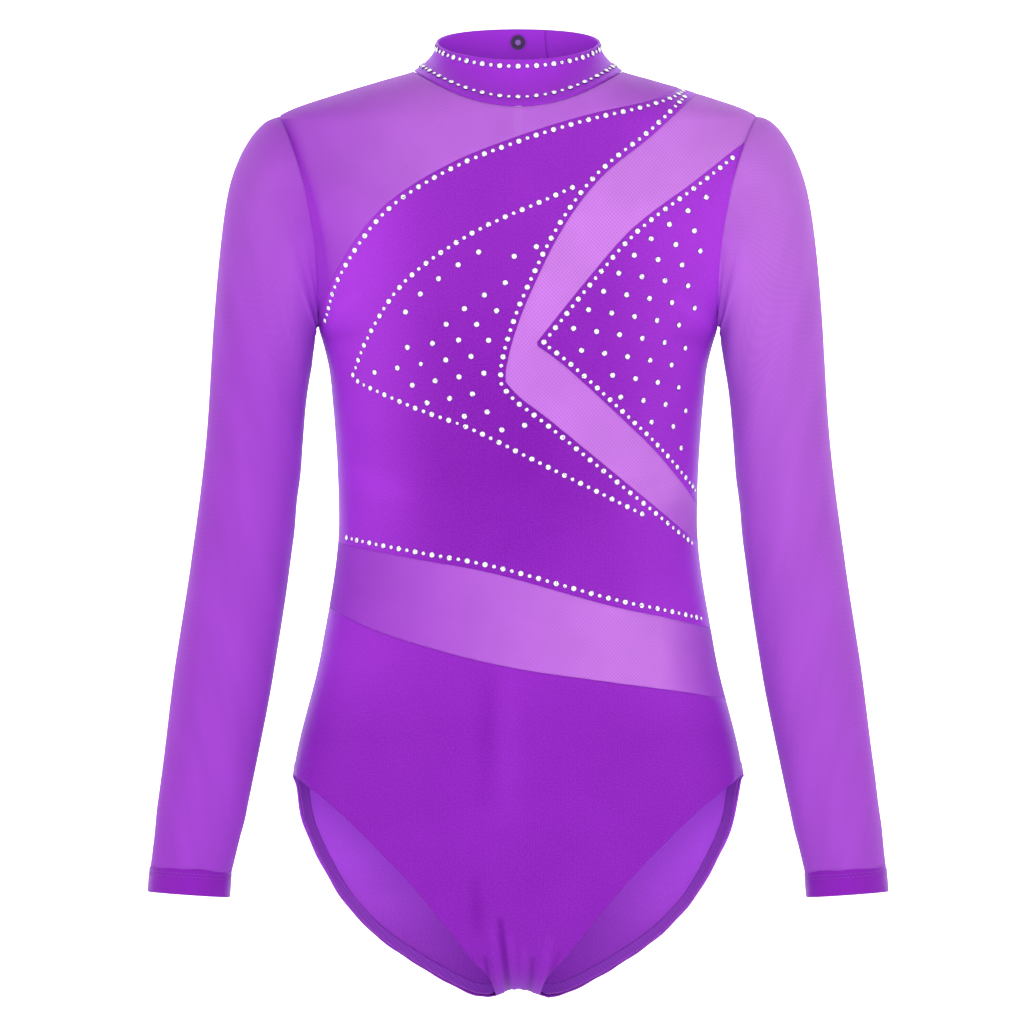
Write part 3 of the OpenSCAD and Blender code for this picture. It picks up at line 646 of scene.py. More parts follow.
def studMaterial(name, look, middles):
    # moulded acetal press stud: smooth and dark, with a small even gloss, and painted highlights at its
    # middle and rim
    material, tree, shader = startMaterial(name)
    spot = addNode(tree, "TexCoord").outputs["Object"]
    flat = addNode(tree, "VectorMath", {0: spot, 1: (1, 0, 1)}, operation="MULTIPLY").outputs[0]
    gaps = [addNode(tree, "VectorMath", {0: flat, 1: (x, 0, z)}, operation="DISTANCE").outputs["Value"]
            for x, z in middles]
    gap = addNode(tree, "Math", {0: gaps[0], 1: gaps[1]}, operation="MINIMUM").outputs[0]
    speck = addNode(tree, "TexNoise", {"Vector": spot, "Scale": 1000 / look["speckMm"], "Detail": 2.0})
    inner, rim = look["centreMm"] * mm, look["rimMm"] * mm
    rimHighlight = addNode(tree, "MapRange", {"Value": gap, "From Min": rim, "From Max": rim + 0.0005})
    middleHighlight = addNode(tree, "MapRange", {"Value": gap, "From Min": inner + 0.0005, "From Max": inner})
    body = addNode(tree, "Mix", {"Factor": rimHighlight.outputs[0], "A": linear(look["deep"]),
                                 "B": linear(look["light"])}, data_type="RGBA")
    tone = addNode(tree, "Mix", {"Factor": middleHighlight.outputs[0], "A": body.outputs[2],
                                 "B": linear(look["centre"])}, data_type="RGBA")
    tree.links.new(tone.outputs[2], shader.inputs["Base Color"])
    rough = addNode(tree, "MapRange", {"Value": speck.outputs[0], "To Min": look["rough"] - 0.06,
                                       "To Max": look["rough"] + 0.1})
    tree.links.new(rough.outputs[0], shader.inputs["Roughness"])
    bump = addNode(tree, "Bump", {"Height": speck.outputs[0], "Strength": 0.08, "Distance": 0.0002})
    tree.links.new(bump.outputs[0], shader.inputs["Normal"])
    shader.inputs["Specular IOR Level"].default_value = 0.25
    return material


def studMiddles():
    # middle of the upper and of the lower stud, across and up, metres
    spots = np.array([v.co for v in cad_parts["stud_backs"].data.vertices])[:, [0, 2]]
    high = spots[:, 1] > spots[:, 1].mean()
    return [(part.max(0) + part.min(0)) / 2 for part in (spots[high], spots[~high])]


def crystalMaterial(name):
    # cut lead-free crystal with a foiled back: each facet's colour is a painted reflection, with a painted
    # glint over it and a faint painted glow
    material, tree, shader = startMaterial(name)
    paintedFacetLightAndShade = addNode(tree, "Attribute", attribute_name="paintedFacetLightAndShade")
    spot = addNode(tree, "TexCoord").outputs["Object"]
    glint = addNode(tree, "TexNoise", {"Vector": spot, "Scale": 1400.0, "Detail": 1.0})
    shade = addNode(tree, "MapRange", {"Value": glint.outputs[0], "To Min": 0.86, "To Max": 1.12})
    tone = addNode(tree, "Mix", {"Factor": 1.0, "A": paintedFacetLightAndShade.outputs["Color"], "B": shade.outputs[0]},
                   data_type="RGBA", blend_type="MULTIPLY")
    tree.links.new(tone.outputs[2], shader.inputs["Base Color"])
    # painted glow: the stones give out a little light in their facet colours
    tree.links.new(tone.outputs[2], shader.inputs["Emission Color"])
    shader.inputs["Emission Strength"].default_value = 0.2
    shader.inputs["Roughness"].default_value = 0.08
    shader.inputs["IOR"].default_value = 1.56
    shader.inputs["Coat Weight"].default_value = 0.6
    shader.inputs["Coat Roughness"].default_value = 0.03
    return material


threadLook = dict(dark="#7A28A4", light="#9C46C8", twistMm=0.45)


def threadMaterial(name, look):
    # textured nylon sewing thread: soft, with a fine twist
    material, tree, shader = startMaterial(name)
    spot = addNode(tree, "TexCoord").outputs["Object"]
    twist = addNode(tree, "TexNoise", {"Vector": spot, "Scale": 1000 / look["twistMm"], "Detail": 1.0})
    tone = addNode(tree, "Mix", {"Factor": twist.outputs[0], "A": linear(look["dark"]),
                                 "B": linear(look["light"])}, data_type="RGBA")
    tree.links.new(tone.outputs[2], shader.inputs["Base Color"])
    bump = addNode(tree, "Bump", {"Height": twist.outputs[0], "Strength": 0.3, "Distance": 0.0002})
    tree.links.new(bump.outputs[0], shader.inputs["Normal"])
    shader.inputs["Roughness"].default_value = 0.6
    return material


satin = satinMaterial("stretchSatin", satinLook)
# the wrong side of the same satin: lighter and duller, and lighter still as painted light on the inside of
# the garment
satinInside = satinMaterial("stretchSatinWrongSide", dict(satinLook, deep="#9038B4", bright="#D062FF",
                                                          rough=0.6))
# the same satin in a fixed lighter tone on the collar: painted light
collarSatinLit = satinMaterial("doubledCollarSatinLit", dict(satinLook, deep="#A336D6", bright="#B042E4"))
# the same satin in a fixed darker tone on the cuff hems: painted shade
hemSatinShaded = satinMaterial("doubledHemSatinShaded", dict(satinLook, deep="#8A26B4", bright="#9A30C8", sheen=0.2))
lining = satinMaterial("brushedTricotLining", dict(satinLook, deep="#8C33B8", bright="#B45AE0", rough=0.6,
                                                   sheen=0.2))
net = netMaterial("stretchNet", netLook)
tape = tapeMaterial("wovenSeamTape", tapeLook)
elastic = tapeMaterial("coveredElastic", dict(tapeLook, dark="#9238BC", light="#A646D2", bump=0.12))
studPlastic = studMaterial("mouldedAcetalStud", studLook, studMiddles())
crystal = crystalMaterial("foiledCrystal")
thread = threadMaterial("nylonThread", threadLook)
print("materials ready")

# front panels
frontNeck, backNeck = neckHole(cut["frontDip"]), neckHole(cut["backDip"])
hemWidth = 6.5


def waistStretchAndLight(x, z):
    # how far each part of the net is stretched together with painted light and shade of the cloth seen
    # through it, 0 to 1; higher is paler
    return np.interp(x, [-125, -60, 0, 60, 92, 108, 128], [0.05, 0.25, 0.5, 0.72, 0.7, 0.4, 0.15])


def chevronStretchAndLight(x, z):
    # painted shade at the chevron's lower end and a little towards its top
    return np.interp(z, [-320, -262, -200, -120, -60, -10], [0.3, 0.75, 0.72, 0.86, 0.8, 0.62])


def yokeStretchAndLight(x, z):
    # painted shade towards the arms and lower down; darker again along the armhole, where the tape inside
    # shows through
    armhole = 0.4 * np.exp(-((halfWidth(-z) - np.abs(x)) / 6)**2) * (z < -cut["shoulderDrop"])
    return (0.48 - 0.22 * np.clip((np.abs(x) - 60) / 70, 0, 1) - 0.2 * np.clip((-z - 60) / 90, 0, 1)
            - armhole)


def satinPaintedLight(x, z):
    # painted light and shade on the satin: painted shade deepest in the middle of the trunk and on the brief,
    # painted light on the flanks and more on the flank at negative x
    centreShade = np.exp(-((x + 5) / 75)**2 - ((z + 245) / 115)**2)
    level = np.interp(z, [-430, -375], [0.26, 0.45])
    flankLight = np.interp(z, [-430, -375], [0.05, 0.42]) * np.clip((np.abs(x) - 60) / 80, 0, 1)
    glow = np.interp(z, [-350, -290], [0, 0.18]) * np.clip((-x - 50) / 40, 0, 1)
    return level - 0.4 * centreShade + flankLight + glow


yoke = panel("yokeNet", -1, [(aboveArc, 1), (frontNeck, -1)], cut["net"], net, spread=yokeStretchAndLight)
chest = panel("chestSatin", -1, [(aboveArc, -1), (rightOfChevron, -1), (below(waistSeam), -1),
                                 (frontNeck, -1)], cut["satin"], satin, spread=satinPaintedLight, backing=satinInside)
chevron = panel("chevronNet", -1, [(rightOfChevron, 1), (wedgeOutline, -1)], cut["net"], net,
                spread=chevronStretchAndLight)
wedge = panel("wedgeSatin", -1, [(wedgeOutline, 1)], cut["satin"], satin, spread=satinPaintedLight, backing=satinInside)
waist = panel("waistNet", -1, [(below(waistSeam), 1), (below(briefSeam), -1)], cut["net"], net,
              spread=waistStretchAndLight)
legFronts = [legHole(legFront, False), legHole(legFront, True)]
legBacks = [legHole(legBack, False), legHole(legBack, True)]
brief = panel("briefSatin", -1, [(below(briefSeam), 1)] + [(hole, -1) for hole in legFronts], cut["satin"],
              satin, hems=[(hole, -1, hemWidth, 0.1) for hole in legFronts], spread=satinPaintedLight, backing=satinInside)
print("front panels cut")

# back panels
backLow = boxHole(-wide, wide, -crotch - beyond, backSeam)
backYoke = panel("backYokeNet", 1, [(backLow, -1), (backNeck, -1), (slitHole(0), -1)], cut["net"], net,
                 spread=lambda x, z: 0.4 - 0.2 * np.abs(x) / 150)
# painted light on the seat: brighter towards the sides; inside it, painted shade deepest low down at the
# crotch
seat = panel("backSatin", 1, [(backLow, 1)] + [(hole, -1) for hole in legBacks], cut["satin"], satin,
             hems=[(hole, -1, hemWidth, 0.45) for hole in legBacks], backing=satinInside,
             spread=lambda x, z: 0.3 + 0.25 * (x / 140)**2,
             paintedLightInside=lambda x, z: np.interp(z, [-592, -560, -510, -460], [0.1, 0.35, 0.9, 1]))
binding = panel("slitBinding", 1, [(slitHole(cut["binding"]), 1), (slitHole(0), -1),
                                   (neckHole(cut["backDip"] + 1), -1)], 1.2, satin, lift=0.75,
                steps=(0.6, 1.3), sink=0.5)
print("back panels cut")

# lining, tapes and elastics inside
inside = -cut["satin"] - cut["layerGap"]
gusset = [panel("gussetLining" + end, side, [(boxHole(-16, 16, -crotch - 20, top), 1)] + [
    (hole, -1) for hole in holes], cut["net"], lining, lift=inside, sink=0.1)
    for end, side, top, holes in (("Front", -1, -535, legFronts), ("Back", 1, -560, legBacks))]


def armStrip(mirrored):
    level = np.radians(np.arange(0, 181, 6))
    drop = cut["shoulderDrop"] + cut["armhole"] * (1 - np.cos(level)) / 2
    edge = np.stack([halfWidth(drop) + 0.4, -drop], -1)
    strip = outline(edge, edge[::-1] - [cut["tapeWidth"] + 0.4, 0])
    return strip * [-1, 1] if mirrored else strip


armTapes, legElastics = {}, {}
taped = dict(lift=inside, steps=(1.0,), sink=0.1)
for hand, mirrored in (("left", False), ("right", True)):
    armTapes[hand] = [panel(hand + "ArmholeTape" + end, side, [(armStrip(mirrored), 1)], cut["tape"], tape,
                            **taped) for end, side in (("Front", -1), ("Back", 1))]
    legElastics[hand] = []
    for end, side, edge in (("Front", -1, legFront), ("Back", 1, legBack)):
        hole, low = legHole(edge, mirrored), edge[edge[:, 1] > -603]
        strip = outline(low, moved(low, cut["tapeWidth"])[::-1])
        strip = strip * [-1, 1] if mirrored else strip
        legElastics[hand].append(panel(hand + "LegElastic" + end, side, [(strip, 1)], cut["tape"], elastic,
                                       **taped))
print("inner tapes laid")

# sleeves
cuffTop = np.array([cut["shoulder"] / 2 + cut["wristOut"], -8, -cut["shoulderDrop"] - cut["sleeve"]])
cuffRadius = cut["wrist"] / 2
cuffTurn = math.radians(cut["cuffLean"])
# share along, outer line out and down from the armhole's top, inner line out and down from the armpit,
# half depth
armLine = [
    [0, 0, -1.8, 0, 0, 50], [0.04, 6.4, 0.5, 0.2, 1.2, 49.7], [0.08, 12.4, 5, 0.5, 3, 49],
    [0.17, 24.3, 22.5, 1.5, 9, 47], [0.26, 33, 48, 2.5, 17, 44], [0.36, 38, 84, 4, 29, 40],
    [0.46, 42, 130, 7, 48, 36], [0.57, 47, 205, 11.5, 96, 33], [0.7, 57, 287, 19, 165, 33],
    [0.8, 66, 346, 28, 224, 31.5], [0.9, 75, 415, 42, 294, 28.5]]
armRows = []
for share, outX, outDown, inX, inDown, halfDepth in armLine:
    top = np.array([cut["shoulder"] / 2 + outX, -cut["shoulderDrop"] - outDown])
    low = np.array([cut["chest"] / 2 + inX, -armpit - inDown])
    armRows.append([share, *((top + low) / 2), *((top - low) / 2), halfDepth])
armRows.append([1, cuffTop[0], cuffTop[2], cuffRadius * math.cos(cuffTurn), cuffRadius * math.sin(cuffTurn),
                cuffRadius])
# folds: share along, angle round, width along, width round in degrees, height mm
sleeveFolds = [
    (0.045, 150, 0.012, 34, 1.2), (0.085, 140, 0.014, 40, -0.9), (0.13, 150, 0.018, 36, 0.8),
    (0.05, -150, 0.013, 34, 1.1), (0.095, -142, 0.015, 38, -0.8), (0.57, 165, 0.02, 46, 0.35),
    (0.61, 172, 0.02, 50, -0.3), (0.65, 160, 0.022, 42, 0.3),
    (0.92, 60, 0.02, 60, 0.5), (0.955, -40, 0.014, 70, 0.5), (0.945, 150, 0.014, 60, 0.5)]


def sleeveAt(share, angle):
    turn = np.radians(angle)
    out = np.stack([curve(armRows, share, 3), 0 * share, curve(armRows, share, 4)], -1)
    scoop = cut["scoop"] * np.maximum(0, 1 - share / 0.3)**2 * np.sin(turn)**2
    middle = np.stack([curve(armRows, share, 1) - scoop, cuffTop[1] * share**2, curve(armRows, share, 2)], -1)
    front = np.stack([0 * share, curve(armRows, share, 5), 0 * share], -1)
    return middle + out * np.cos(turn)[..., None] - front * np.sin(turn)[..., None]


def sleeveOut(share, angle):
    along = sleeveAt(np.minimum(1, share + 0.003), angle) - sleeveAt(np.maximum(0, share - 0.003), angle)
    around = sleeveAt(share, angle + 1.5) - sleeveAt(share, angle - 1.5)
    return unit(np.cross(around, along))


def sleeveRelief(share, angle, hand):
    lean = 1 if hand == "left" else -1
    height = 0.35 * np.sin(np.radians(3 * angle) + 7 * share + lean) * np.sin(9 * share + lean)
    height = height + 0.2 * np.sin(np.radians(7 * angle) - 19 * share + 2 * lean)
    for at, turn, length, spread, tall in sleeveFolds:
        away = (angle - turn + 180) % 360 - 180
        slant = share - at - 0.00018 * away * lean
        height = height + tall * np.exp(-(slant / length)**2 - (away / spread)**2)
    return height * np.clip(share / 0.02, 0, 1)


def sleeve(hand):
    shares = np.concatenate([[0, 0.0022, 0.0055], np.linspace(0.01, 0.13, 48),
                             np.linspace(0.136, 0.99, 135), [0.996, 1]])
    turns = np.concatenate([[-180, -179.3, -178], np.linspace(-175.5, 175.5, 84), [178, 179.3, 180]])
    share, turn = np.meshgrid(shares, turns, indexing="ij")
    base, out = sleeveAt(share, turn), sleeveOut(share, turn)
    height = sleeveRelief(share, turn, hand)
    ringGap = (180 - np.abs(turn)) / 57.3 * curve(armRows, share, 5)
    seamGap = share * 480  # mm along the sleeve
    height = height - 0.45 * np.exp(-(ringGap / 1.3)**2) - 0.2 * np.exp(-(seamGap / 1.5)**2)
    tucked = 0 * base
    tucked[0] = unit(base[0] - base[2]) * 0.9 - 0.35 * out[0]  # the seam edge goes under the armhole
    outer = base + height[..., None] * out + tucked
    inner = base + (height - cut["net"])[..., None] * out + tucked
    across = np.cumsum(np.linalg.norm(np.diff(base, axis=1, prepend=base[:, :1]), axis=2), 1)
    across -= across[:, [len(turns) // 2]]
    along = np.cumsum(np.linalg.norm(np.diff(base, axis=0, prepend=base[:1]), axis=2), 0)
    rows, columns = share.shape
    i, j = np.meshgrid(np.arange(rows - 1), np.arange(columns - 1), indexing="ij")
    first = (i * columns + j).ravel()
    quads = np.stack([first, first + 1, first + columns + 1, first + columns], -1)
    # painted light and shade on the sleeve net: the left sleeve paler, lit, the right one darker, in shade;
    # both darker towards the cuff, with painted shade in the armpit
    armpitShade = np.exp(-(share / 0.2)**2) * np.clip((np.abs(turn) - 60) / 80, 0, 1)
    if hand == "left":
        sleeveStretchAndLight = np.interp(share, [0, 0.15, 0.45, 0.7, 1], [0.6, 0.6, 0.4, 0.26, 0.18]) - 0.4 * armpitShade
    else:
        sleeveStretchAndLight = np.interp(share, [0, 0.15, 0.5, 0.8, 1], [0.24, 0.3, 0.14, 0.12, 0.1]) - 0.25 * armpitShade
        outer, inner = outer * [-1, 1, 1], inner * [-1, 1, 1]
        quads = quads[:, ::-1]
    cloth, faces = thicken(outer.reshape(-1, 3), inner.reshape(-1, 3), [tuple(q) for q in quads.tolist()])
    uv = np.tile(np.stack([across, -along], -1).reshape(-1, 2), (2, 1))
    piece = newPiece(hand + "SleeveNet", cloth, faces, uv, net, np.tile(np.clip(sleeveStretchAndLight, 0, 1).ravel(), 2))
    measureCut(piece, np.stack([across, along], -1).reshape(-1, 2))
    return piece


cuffLook = dict(puff=0.25, stitchRows=(2.3, 4.3), stitch=2.1, stitchPitch=2.75, threadWidth=0.42)


def cuffSpot(turn, down, radius, hand):
    axis = np.array([math.sin(cuffTurn), 0, -math.cos(cuffTurn)])
    across = np.array([math.cos(cuffTurn), 0, math.sin(cuffTurn)])
    spot = (cuffTop + axis * down + across * (radius * math.cos(turn))
            + np.array([0, radius * math.sin(turn), 0]))
    return spot * [1 if hand == "left" else -1, 1, 1]


def cuff(hand):
    look, high, thick = cuffLook, cut["cuff"], cut["hem"]
    outward = [(-1.2, -0.5), (-0.3, 0.05), (0.6, 0.4), (1.6, 0.42), (2.3, 0.22), (3.3, 0.44), (4.3, 0.22),
               (5.4, 0.46), (8, 0.5), (11, 0.5), (13.5, 0.48), (high - 1, 0.42)]
    fold = [(high - 0.3, 0.2), (high, -0.15), (high, -0.5), (high - 0.3, -0.85)]
    inward = [(down, -thick - 0.05) for down, _ in outward[::-1]]
    profile = outward + fold + inward
    count = 96
    sections, uv = [], []
    for k in range(count):
        turn = 2 * math.pi * k / count
        wave = look["puff"] * math.sin(3 * turn + 1) + 0.12 * math.sin(11 * turn)
        ring = []
        for down, proud in profile:
            ring.append(cuffSpot(turn, down, cuffRadius + proud + wave * max(0, down) / high, hand))
        sections.append(ring)
        uv.append([[turn * cuffRadius, -down] for down, _ in profile])
    return foldedBand(hand + "CuffHem", np.array(sections), True, hemSatinShaded, np.array(uv))


# stitches
def stitchRun(name, spots, ways, outs, length, width):
    # short arched threads, each one sunk into the cloth at both ends
    shape = [(-0.5, 0.3, -0.5), (-0.36, 0.85, 0.05), (0, 1, 0.35), (0.36, 0.85, 0.05), (0.5, 0.3, -0.5)]
    points, faces = [], []
    for spot, way, out in zip(spots, ways, outs):
        sideways = np.cross(out, way)
        start = len(points)
        for along, thick, rise in shape:
            for k in range(6):
                turn = math.pi * k / 3
                up = rise + 0.5 * thick * math.sin(turn)
                points.append(spot + way * along * length + out * width * up
                              + sideways * width * 0.5 * thick * math.cos(turn))
        for row in range(len(shape) - 1):
            for k in range(6):
                a, b = start + row * 6 + k, start + row * 6 + (k + 1) % 6
                faces.append((a, b, b + 6, a + 6))
        faces.append(tuple(start + k for k in range(5, -1, -1)))
        faces.append(tuple(start + 24 + k for k in range(6)))
    return newPiece(name, points, faces, material=thread, recalc=True)


def cuffStitches(hand):
    look = cuffLook
    spots, ways, outs = [], [], []
    count = round(2 * math.pi * cuffRadius / look["stitchPitch"])
    for row in look["stitchRows"]:
        for k in range(count):
            turn = 2 * math.pi * (k + 0.5 * (row > 3)) / count
            here = cuffSpot(turn, row, cuffRadius + 0.3, hand)
            ahead, outside = cuffSpot(turn + 0.01, row, cuffRadius + 0.3, hand), cuffSpot(turn, row, 30, hand)
            spots.append(here)
            ways.append(unit(ahead - here))
            outs.append(unit(outside - cuffSpot(turn, row, 20, hand)))
    return stitchRun(hand + "CuffStitches", spots, ways, outs, look["stitch"], look["threadWidth"])


def seamStitches(name, line, side, lift, pitch=2.9, length=2.1, width=0.42):
    # stitches along a line across and down, spaced evenly on the cloth
    line = line[np.abs(line[:, 0]) < halfWidth(-line[:, 1]) - 0.6]
    path = bodyAt(angleOf(line[:, 0], -line[:, 1]), -line[:, 1], side)
    run = np.concatenate([[0], np.cumsum(np.linalg.norm(np.diff(path, axis=0), axis=1))])
    at = np.arange(pitch / 2, run[-1], pitch)
    x, z = np.interp(at, run, line[:, 0]), np.interp(at, run, line[:, 1])
    x2, z2 = np.interp(at + 0.6, run, line[:, 0]), np.interp(at + 0.6, run, line[:, 1])
    angle = angleOf(x, -z)
    here, out = bodyAt(angle, -z, side), bodyOut(angle, -z, side)
    ahead = bodyAt(angleOf(x2, -z2), -z2, side)
    spots = here + (relief(here, -z, side) + lift)[:, None] * out
    way = ahead - here
    way = unit(way - (way * out).sum(-1, keepdims=True) * out)
    return stitchRun(name, spots, way, out, length, width)


sleeves = {hand: sleeve(hand) for hand in ("left", "right")}
cuffs = {hand: cuff(hand) for hand in ("left", "right")}
cuffThreads = {hand: cuffStitches(hand) for hand in ("left", "right")}
legThreads = []
low = legBack[legBack[:, 1] > -592]
for hand, flip in (("left", 1), ("right", -1)):
    for row, gap in (("Outer", 3.9), ("Inner", 5.9)):
        legThreads.append(seamStitches(hand + "LegStitches" + row, moved(low, gap) * [flip, 1], 1, 0.42))
slitEdge = slitHole(1.6)[:-2]
slitThreads = [seamStitches("slitStitches", np.vstack([[[-4.1, -12]], slitEdge, [[4.1, -12]]]), 1, 0.72)]
print("sleeves, cuffs and stitches made")

# collar
collarLook = dict(rows=16, thick=1.6, pucker=0.16, tabLift=2.8, tabFoot=0.12, tabAngle=40, corner=5)
tabRoot = 180 - collarLook["tabAngle"] / 2


def collarAt(turn, share, lift=0.0):
    # point of the collar at an angle round the neck, 0 in front, and a share of its height
    f = np.radians(np.asarray(turn, float))
    ahead = np.cos(f) > 0
    drop = neckLevel + np.where(ahead, cut["frontDip"], cut["backDip"]) * np.cos(f)**2
    angle = angleOf(footRadius * np.sin(f), drop)
    low = np.where(ahead[..., None], bodyAt(angle, drop, -1), bodyAt(angle, drop, 1))
    top = np.stack([cut["neck"] / 2 * np.sin(f), -cut["neckDepth"] / 2 * np.cos(f) - 1,
                    cut["collarHeight"] - 15 - 11 * np.cos(f) - 1.5 * np.cos(f)**2], -1)
    ease = 1 - (1 - share)**2
    share, ease, lift = (np.broadcast_to(v, f.shape) for v in (share, ease, lift))
    spot = low + (top - low) * np.stack([ease, ease, share], -1)
    return spot + lift[..., None] * np.stack([np.sin(f), -np.cos(f), 0 * f], -1)


def collarPiece(name, turns, lowAt, highAt, liftAt, material, pucker):
    rows, thick, tall = collarLook["rows"], collarLook["thick"], cut["collarHeight"]
    sections, uv = [], []
    for turn in turns:
        lift = liftAt(turn)
        shares = lowAt(turn) + (highAt(turn) - lowAt(turn)) * np.linspace(0, 1, rows)
        wave = pucker * np.sin(np.radians(turn * 41)) * np.exp(-shares / 0.14)
        wave = wave - 0.5 * np.exp(-((shares - shares[0]) * 30)**2) + 0.12 * np.sin(np.radians(5 * turn))
        angle = np.full(rows, turn)
        outer = collarAt(angle, shares, lift + wave)
        arc = np.radians([36, 72, 108, 144])
        fold = collarAt(np.full(4, turn), shares[-1], lift + wave[-1] - thick / 2 + thick / 2 * np.cos(arc))
        fold[:, 2] += thick / 2 * np.sin(arc)
        inner = collarAt(angle[::-1], shares[::-1], lift - thick + 0.3 * wave[::-1])
        sections.append(np.vstack([outer, fold, inner]))
        high = np.concatenate([shares * tall, shares[-1] * tall + arc * thick / 2,
                               tall + 2 + (1 - shares) * tall])
        uv.append(np.stack([np.full(len(high), turn * 1.12), high], -1))
    return foldedBand(name, np.array(sections), False, material, np.array(uv))


def tabEnd(turn):
    # rounded corners at the tab's free end
    left = (tabRoot + collarLook["tabAngle"] - turn) * 0.85
    corner = collarLook["corner"]
    short = corner - math.sqrt(max(0, corner**2 - max(0, corner - left)**2))
    return short / cut["collarHeight"]


band = collarPiece("collarBand", np.linspace(tabRoot - 359.6, tabRoot, 260), lambda t: 0, lambda t: 1,
                   lambda t: 0, collarSatinLit, collarLook["pucker"])
tabTurns = np.concatenate([np.linspace(tabRoot + 0.1, 194, 36)[:-1],
                           200 - 6 * np.cos(np.linspace(0, 1.54, 16))])
tab = collarPiece("collarTab", tabTurns, lambda t: collarLook["tabFoot"] + tabEnd(t), lambda t: 1 - tabEnd(t),
                  lambda t: (collarLook["tabLift"] + 1.6) * np.clip((t - tabRoot) / 5, 0, 1)**0.7,
                  collarSatinLit, 0)
print("collar made")

# stones
# the rim colour is painted shade along each stone's edge; the facet colours are painted reflections
stoneLook = dict(rim="#43186A", girdle=0.1, bevel=0.14, bevelIn=0.83, high=0.3, table=0.46)
facetReflections = ["#FFFFFF"] * 11 + ["#F7ECFC"] * 4 + ["#E6CFF4", "#C59BE0", "#5A2A80"]


def stoneSeats(node):
    # centre, direction and width of every stone, read from its solid
    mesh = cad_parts[node].data
    co = np.zeros(len(mesh.vertices) * 3)
    mesh.vertices.foreach_get("co", co)
    _, same = np.unique(np.round(co.reshape(-1, 3) * 1e6).astype(int), axis=0, return_inverse=True)
    same = same.ravel()
    lead = list(range(int(same.max()) + 1))

    def root(i):
        while lead[i] != i:
            lead[i] = lead[lead[i]]
            i = lead[i]
        return i

    for face in mesh.polygons:
        first = root(int(same[face.vertices[0]]))
        for i in face.vertices[1:]:
            lead[root(int(same[i]))] = first
    stones = {}
    for face in mesh.polygons:
        flats = stones.setdefault(root(int(same[face.vertices[0]])), {})
        normal = np.array(face.normal)
        flat = flats.setdefault(tuple(np.round(normal, 2)), [0, np.zeros(3), normal])
        flat[0] += face.area
        flat[1] += face.area * np.array(face.center)
    for flats in stones.values():
        area, centre, normal = max(flats.values(), key=lambda flat: flat[0])
        centre, out = centre / area / mm, -normal
        if "collar" not in node:  # set down on the cloth itself
            drop = -centre[2:]
            angle = angleOf(centre[:1], drop)
            base, out = bodyAt(angle, drop, -1), bodyOut(angle, drop, -1)
            centre, out = (base + relief(base, drop, -1)[:, None] * out)[0], out[0]
        yield centre, out, 2 * math.sqrt(area / math.pi) / mm


def stoneRow(name, node):
    look = stoneLook
    points, faces, paintedLights = [], [], []
    # painted shade round each stone's edge
    rim = linear(look["rim"])
    for centre, out, width in stoneSeats(node):
        side = unit(np.cross(out, [0.3, 0.2, 1]))
        ahead = np.cross(out, side)
        start, spin = len(points), dice.uniform(0, 6.28)
        rings = [(16, 0.5, 0), (16, 0.5, look["girdle"]), (16, 0.5 * look["bevelIn"], look["bevel"]),
                 (8, 0.5 * look["table"], look["high"])]
        for count, radius, high in rings:
            for k in range(count):
                turn = spin + 2 * math.pi * k / count
                across = radius * math.cos(turn) * side + radius * math.sin(turn) * ahead
                points.append(centre + width * (across + (high - 0.05) * out))
        points.append(centre + width * (look["high"] - 0.03) * out)
        for ring in (0, 16):
            for k in range(16):
                n = (k + 1) % 16
                low, top = start + ring, start + ring + 16
                faces.append((low + k, low + n, top + n, top + k))
                paintedLights.append(rim)
        # painted reflections, one per facet
        reflections = [linear(facetReflections[i]) for i in dice.integers(0, len(facetReflections), 32)]
        for k in range(8):
            a, b, c = (start + 32 + (2 * k + i) % 16 for i in (-1, 0, 1))
            here, following = start + 48 + k, start + 48 + (k + 1) % 8
            faces += [(a, b, here), (b, c, here), (c, following, here), (here, following, start + 56)]
            paintedLights += [reflections[k], reflections[k + 8], reflections[k + 16], reflections[k + 24]]
        faces.append(tuple(start + k for k in range(15, -1, -1)))
        paintedLights.append(rim)
    piece = newPiece(name, points, faces, material=crystal)
    piece.data.polygons.foreach_set("use_smooth", [False] * len(faces))
    colours = [paintedLight for face, paintedLight in zip(faces, paintedLights) for _ in face]
    attribute = piece.data.attributes.new("paintedFacetLightAndShade", "FLOAT_COLOR", "CORNER")
    attribute.data.foreach_set("color", np.array(colours, np.float32).ravel())
    return piece


def stoneNode(name):
    return "stones_" + "".join("_" + c.lower() if c.isupper() else c for c in name)


stoneRows = {name: stoneRow(name + "Stones", stoneNode(name)) for name in (
    "collarTop", "collarFoot", "arc", "chevron", "leafTop", "leafFoot", "leafField", "wedge", "wedgeField",
    "waist")}
print("stones set")

# how the pieces hang together
for node in ("stud_backs", "stud_posts", "stud_sockets", "stud_caps"):
    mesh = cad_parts[node].data
    mesh.materials.clear()
    mesh.materials.append(studPlastic)


def place(piece, slot, *nodes, body="bodice"):
    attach(piece, body)
    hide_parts(*nodes)


def declare(piece, restsOn, *withPieces):
    # flat size and area of the cut piece, as developed from its own cloth
    width, length, area = piece["cutSize"]
    if area < 0.35 * width * length:  # a bent strip: its long side and its mean width count
        length = max(width, length)
        width = area / length / 0.8
    print("flat", piece.name, round(width * 1000), "x", round(length * 1000), "area", round(area, 5))
    area = min(area, width * length)


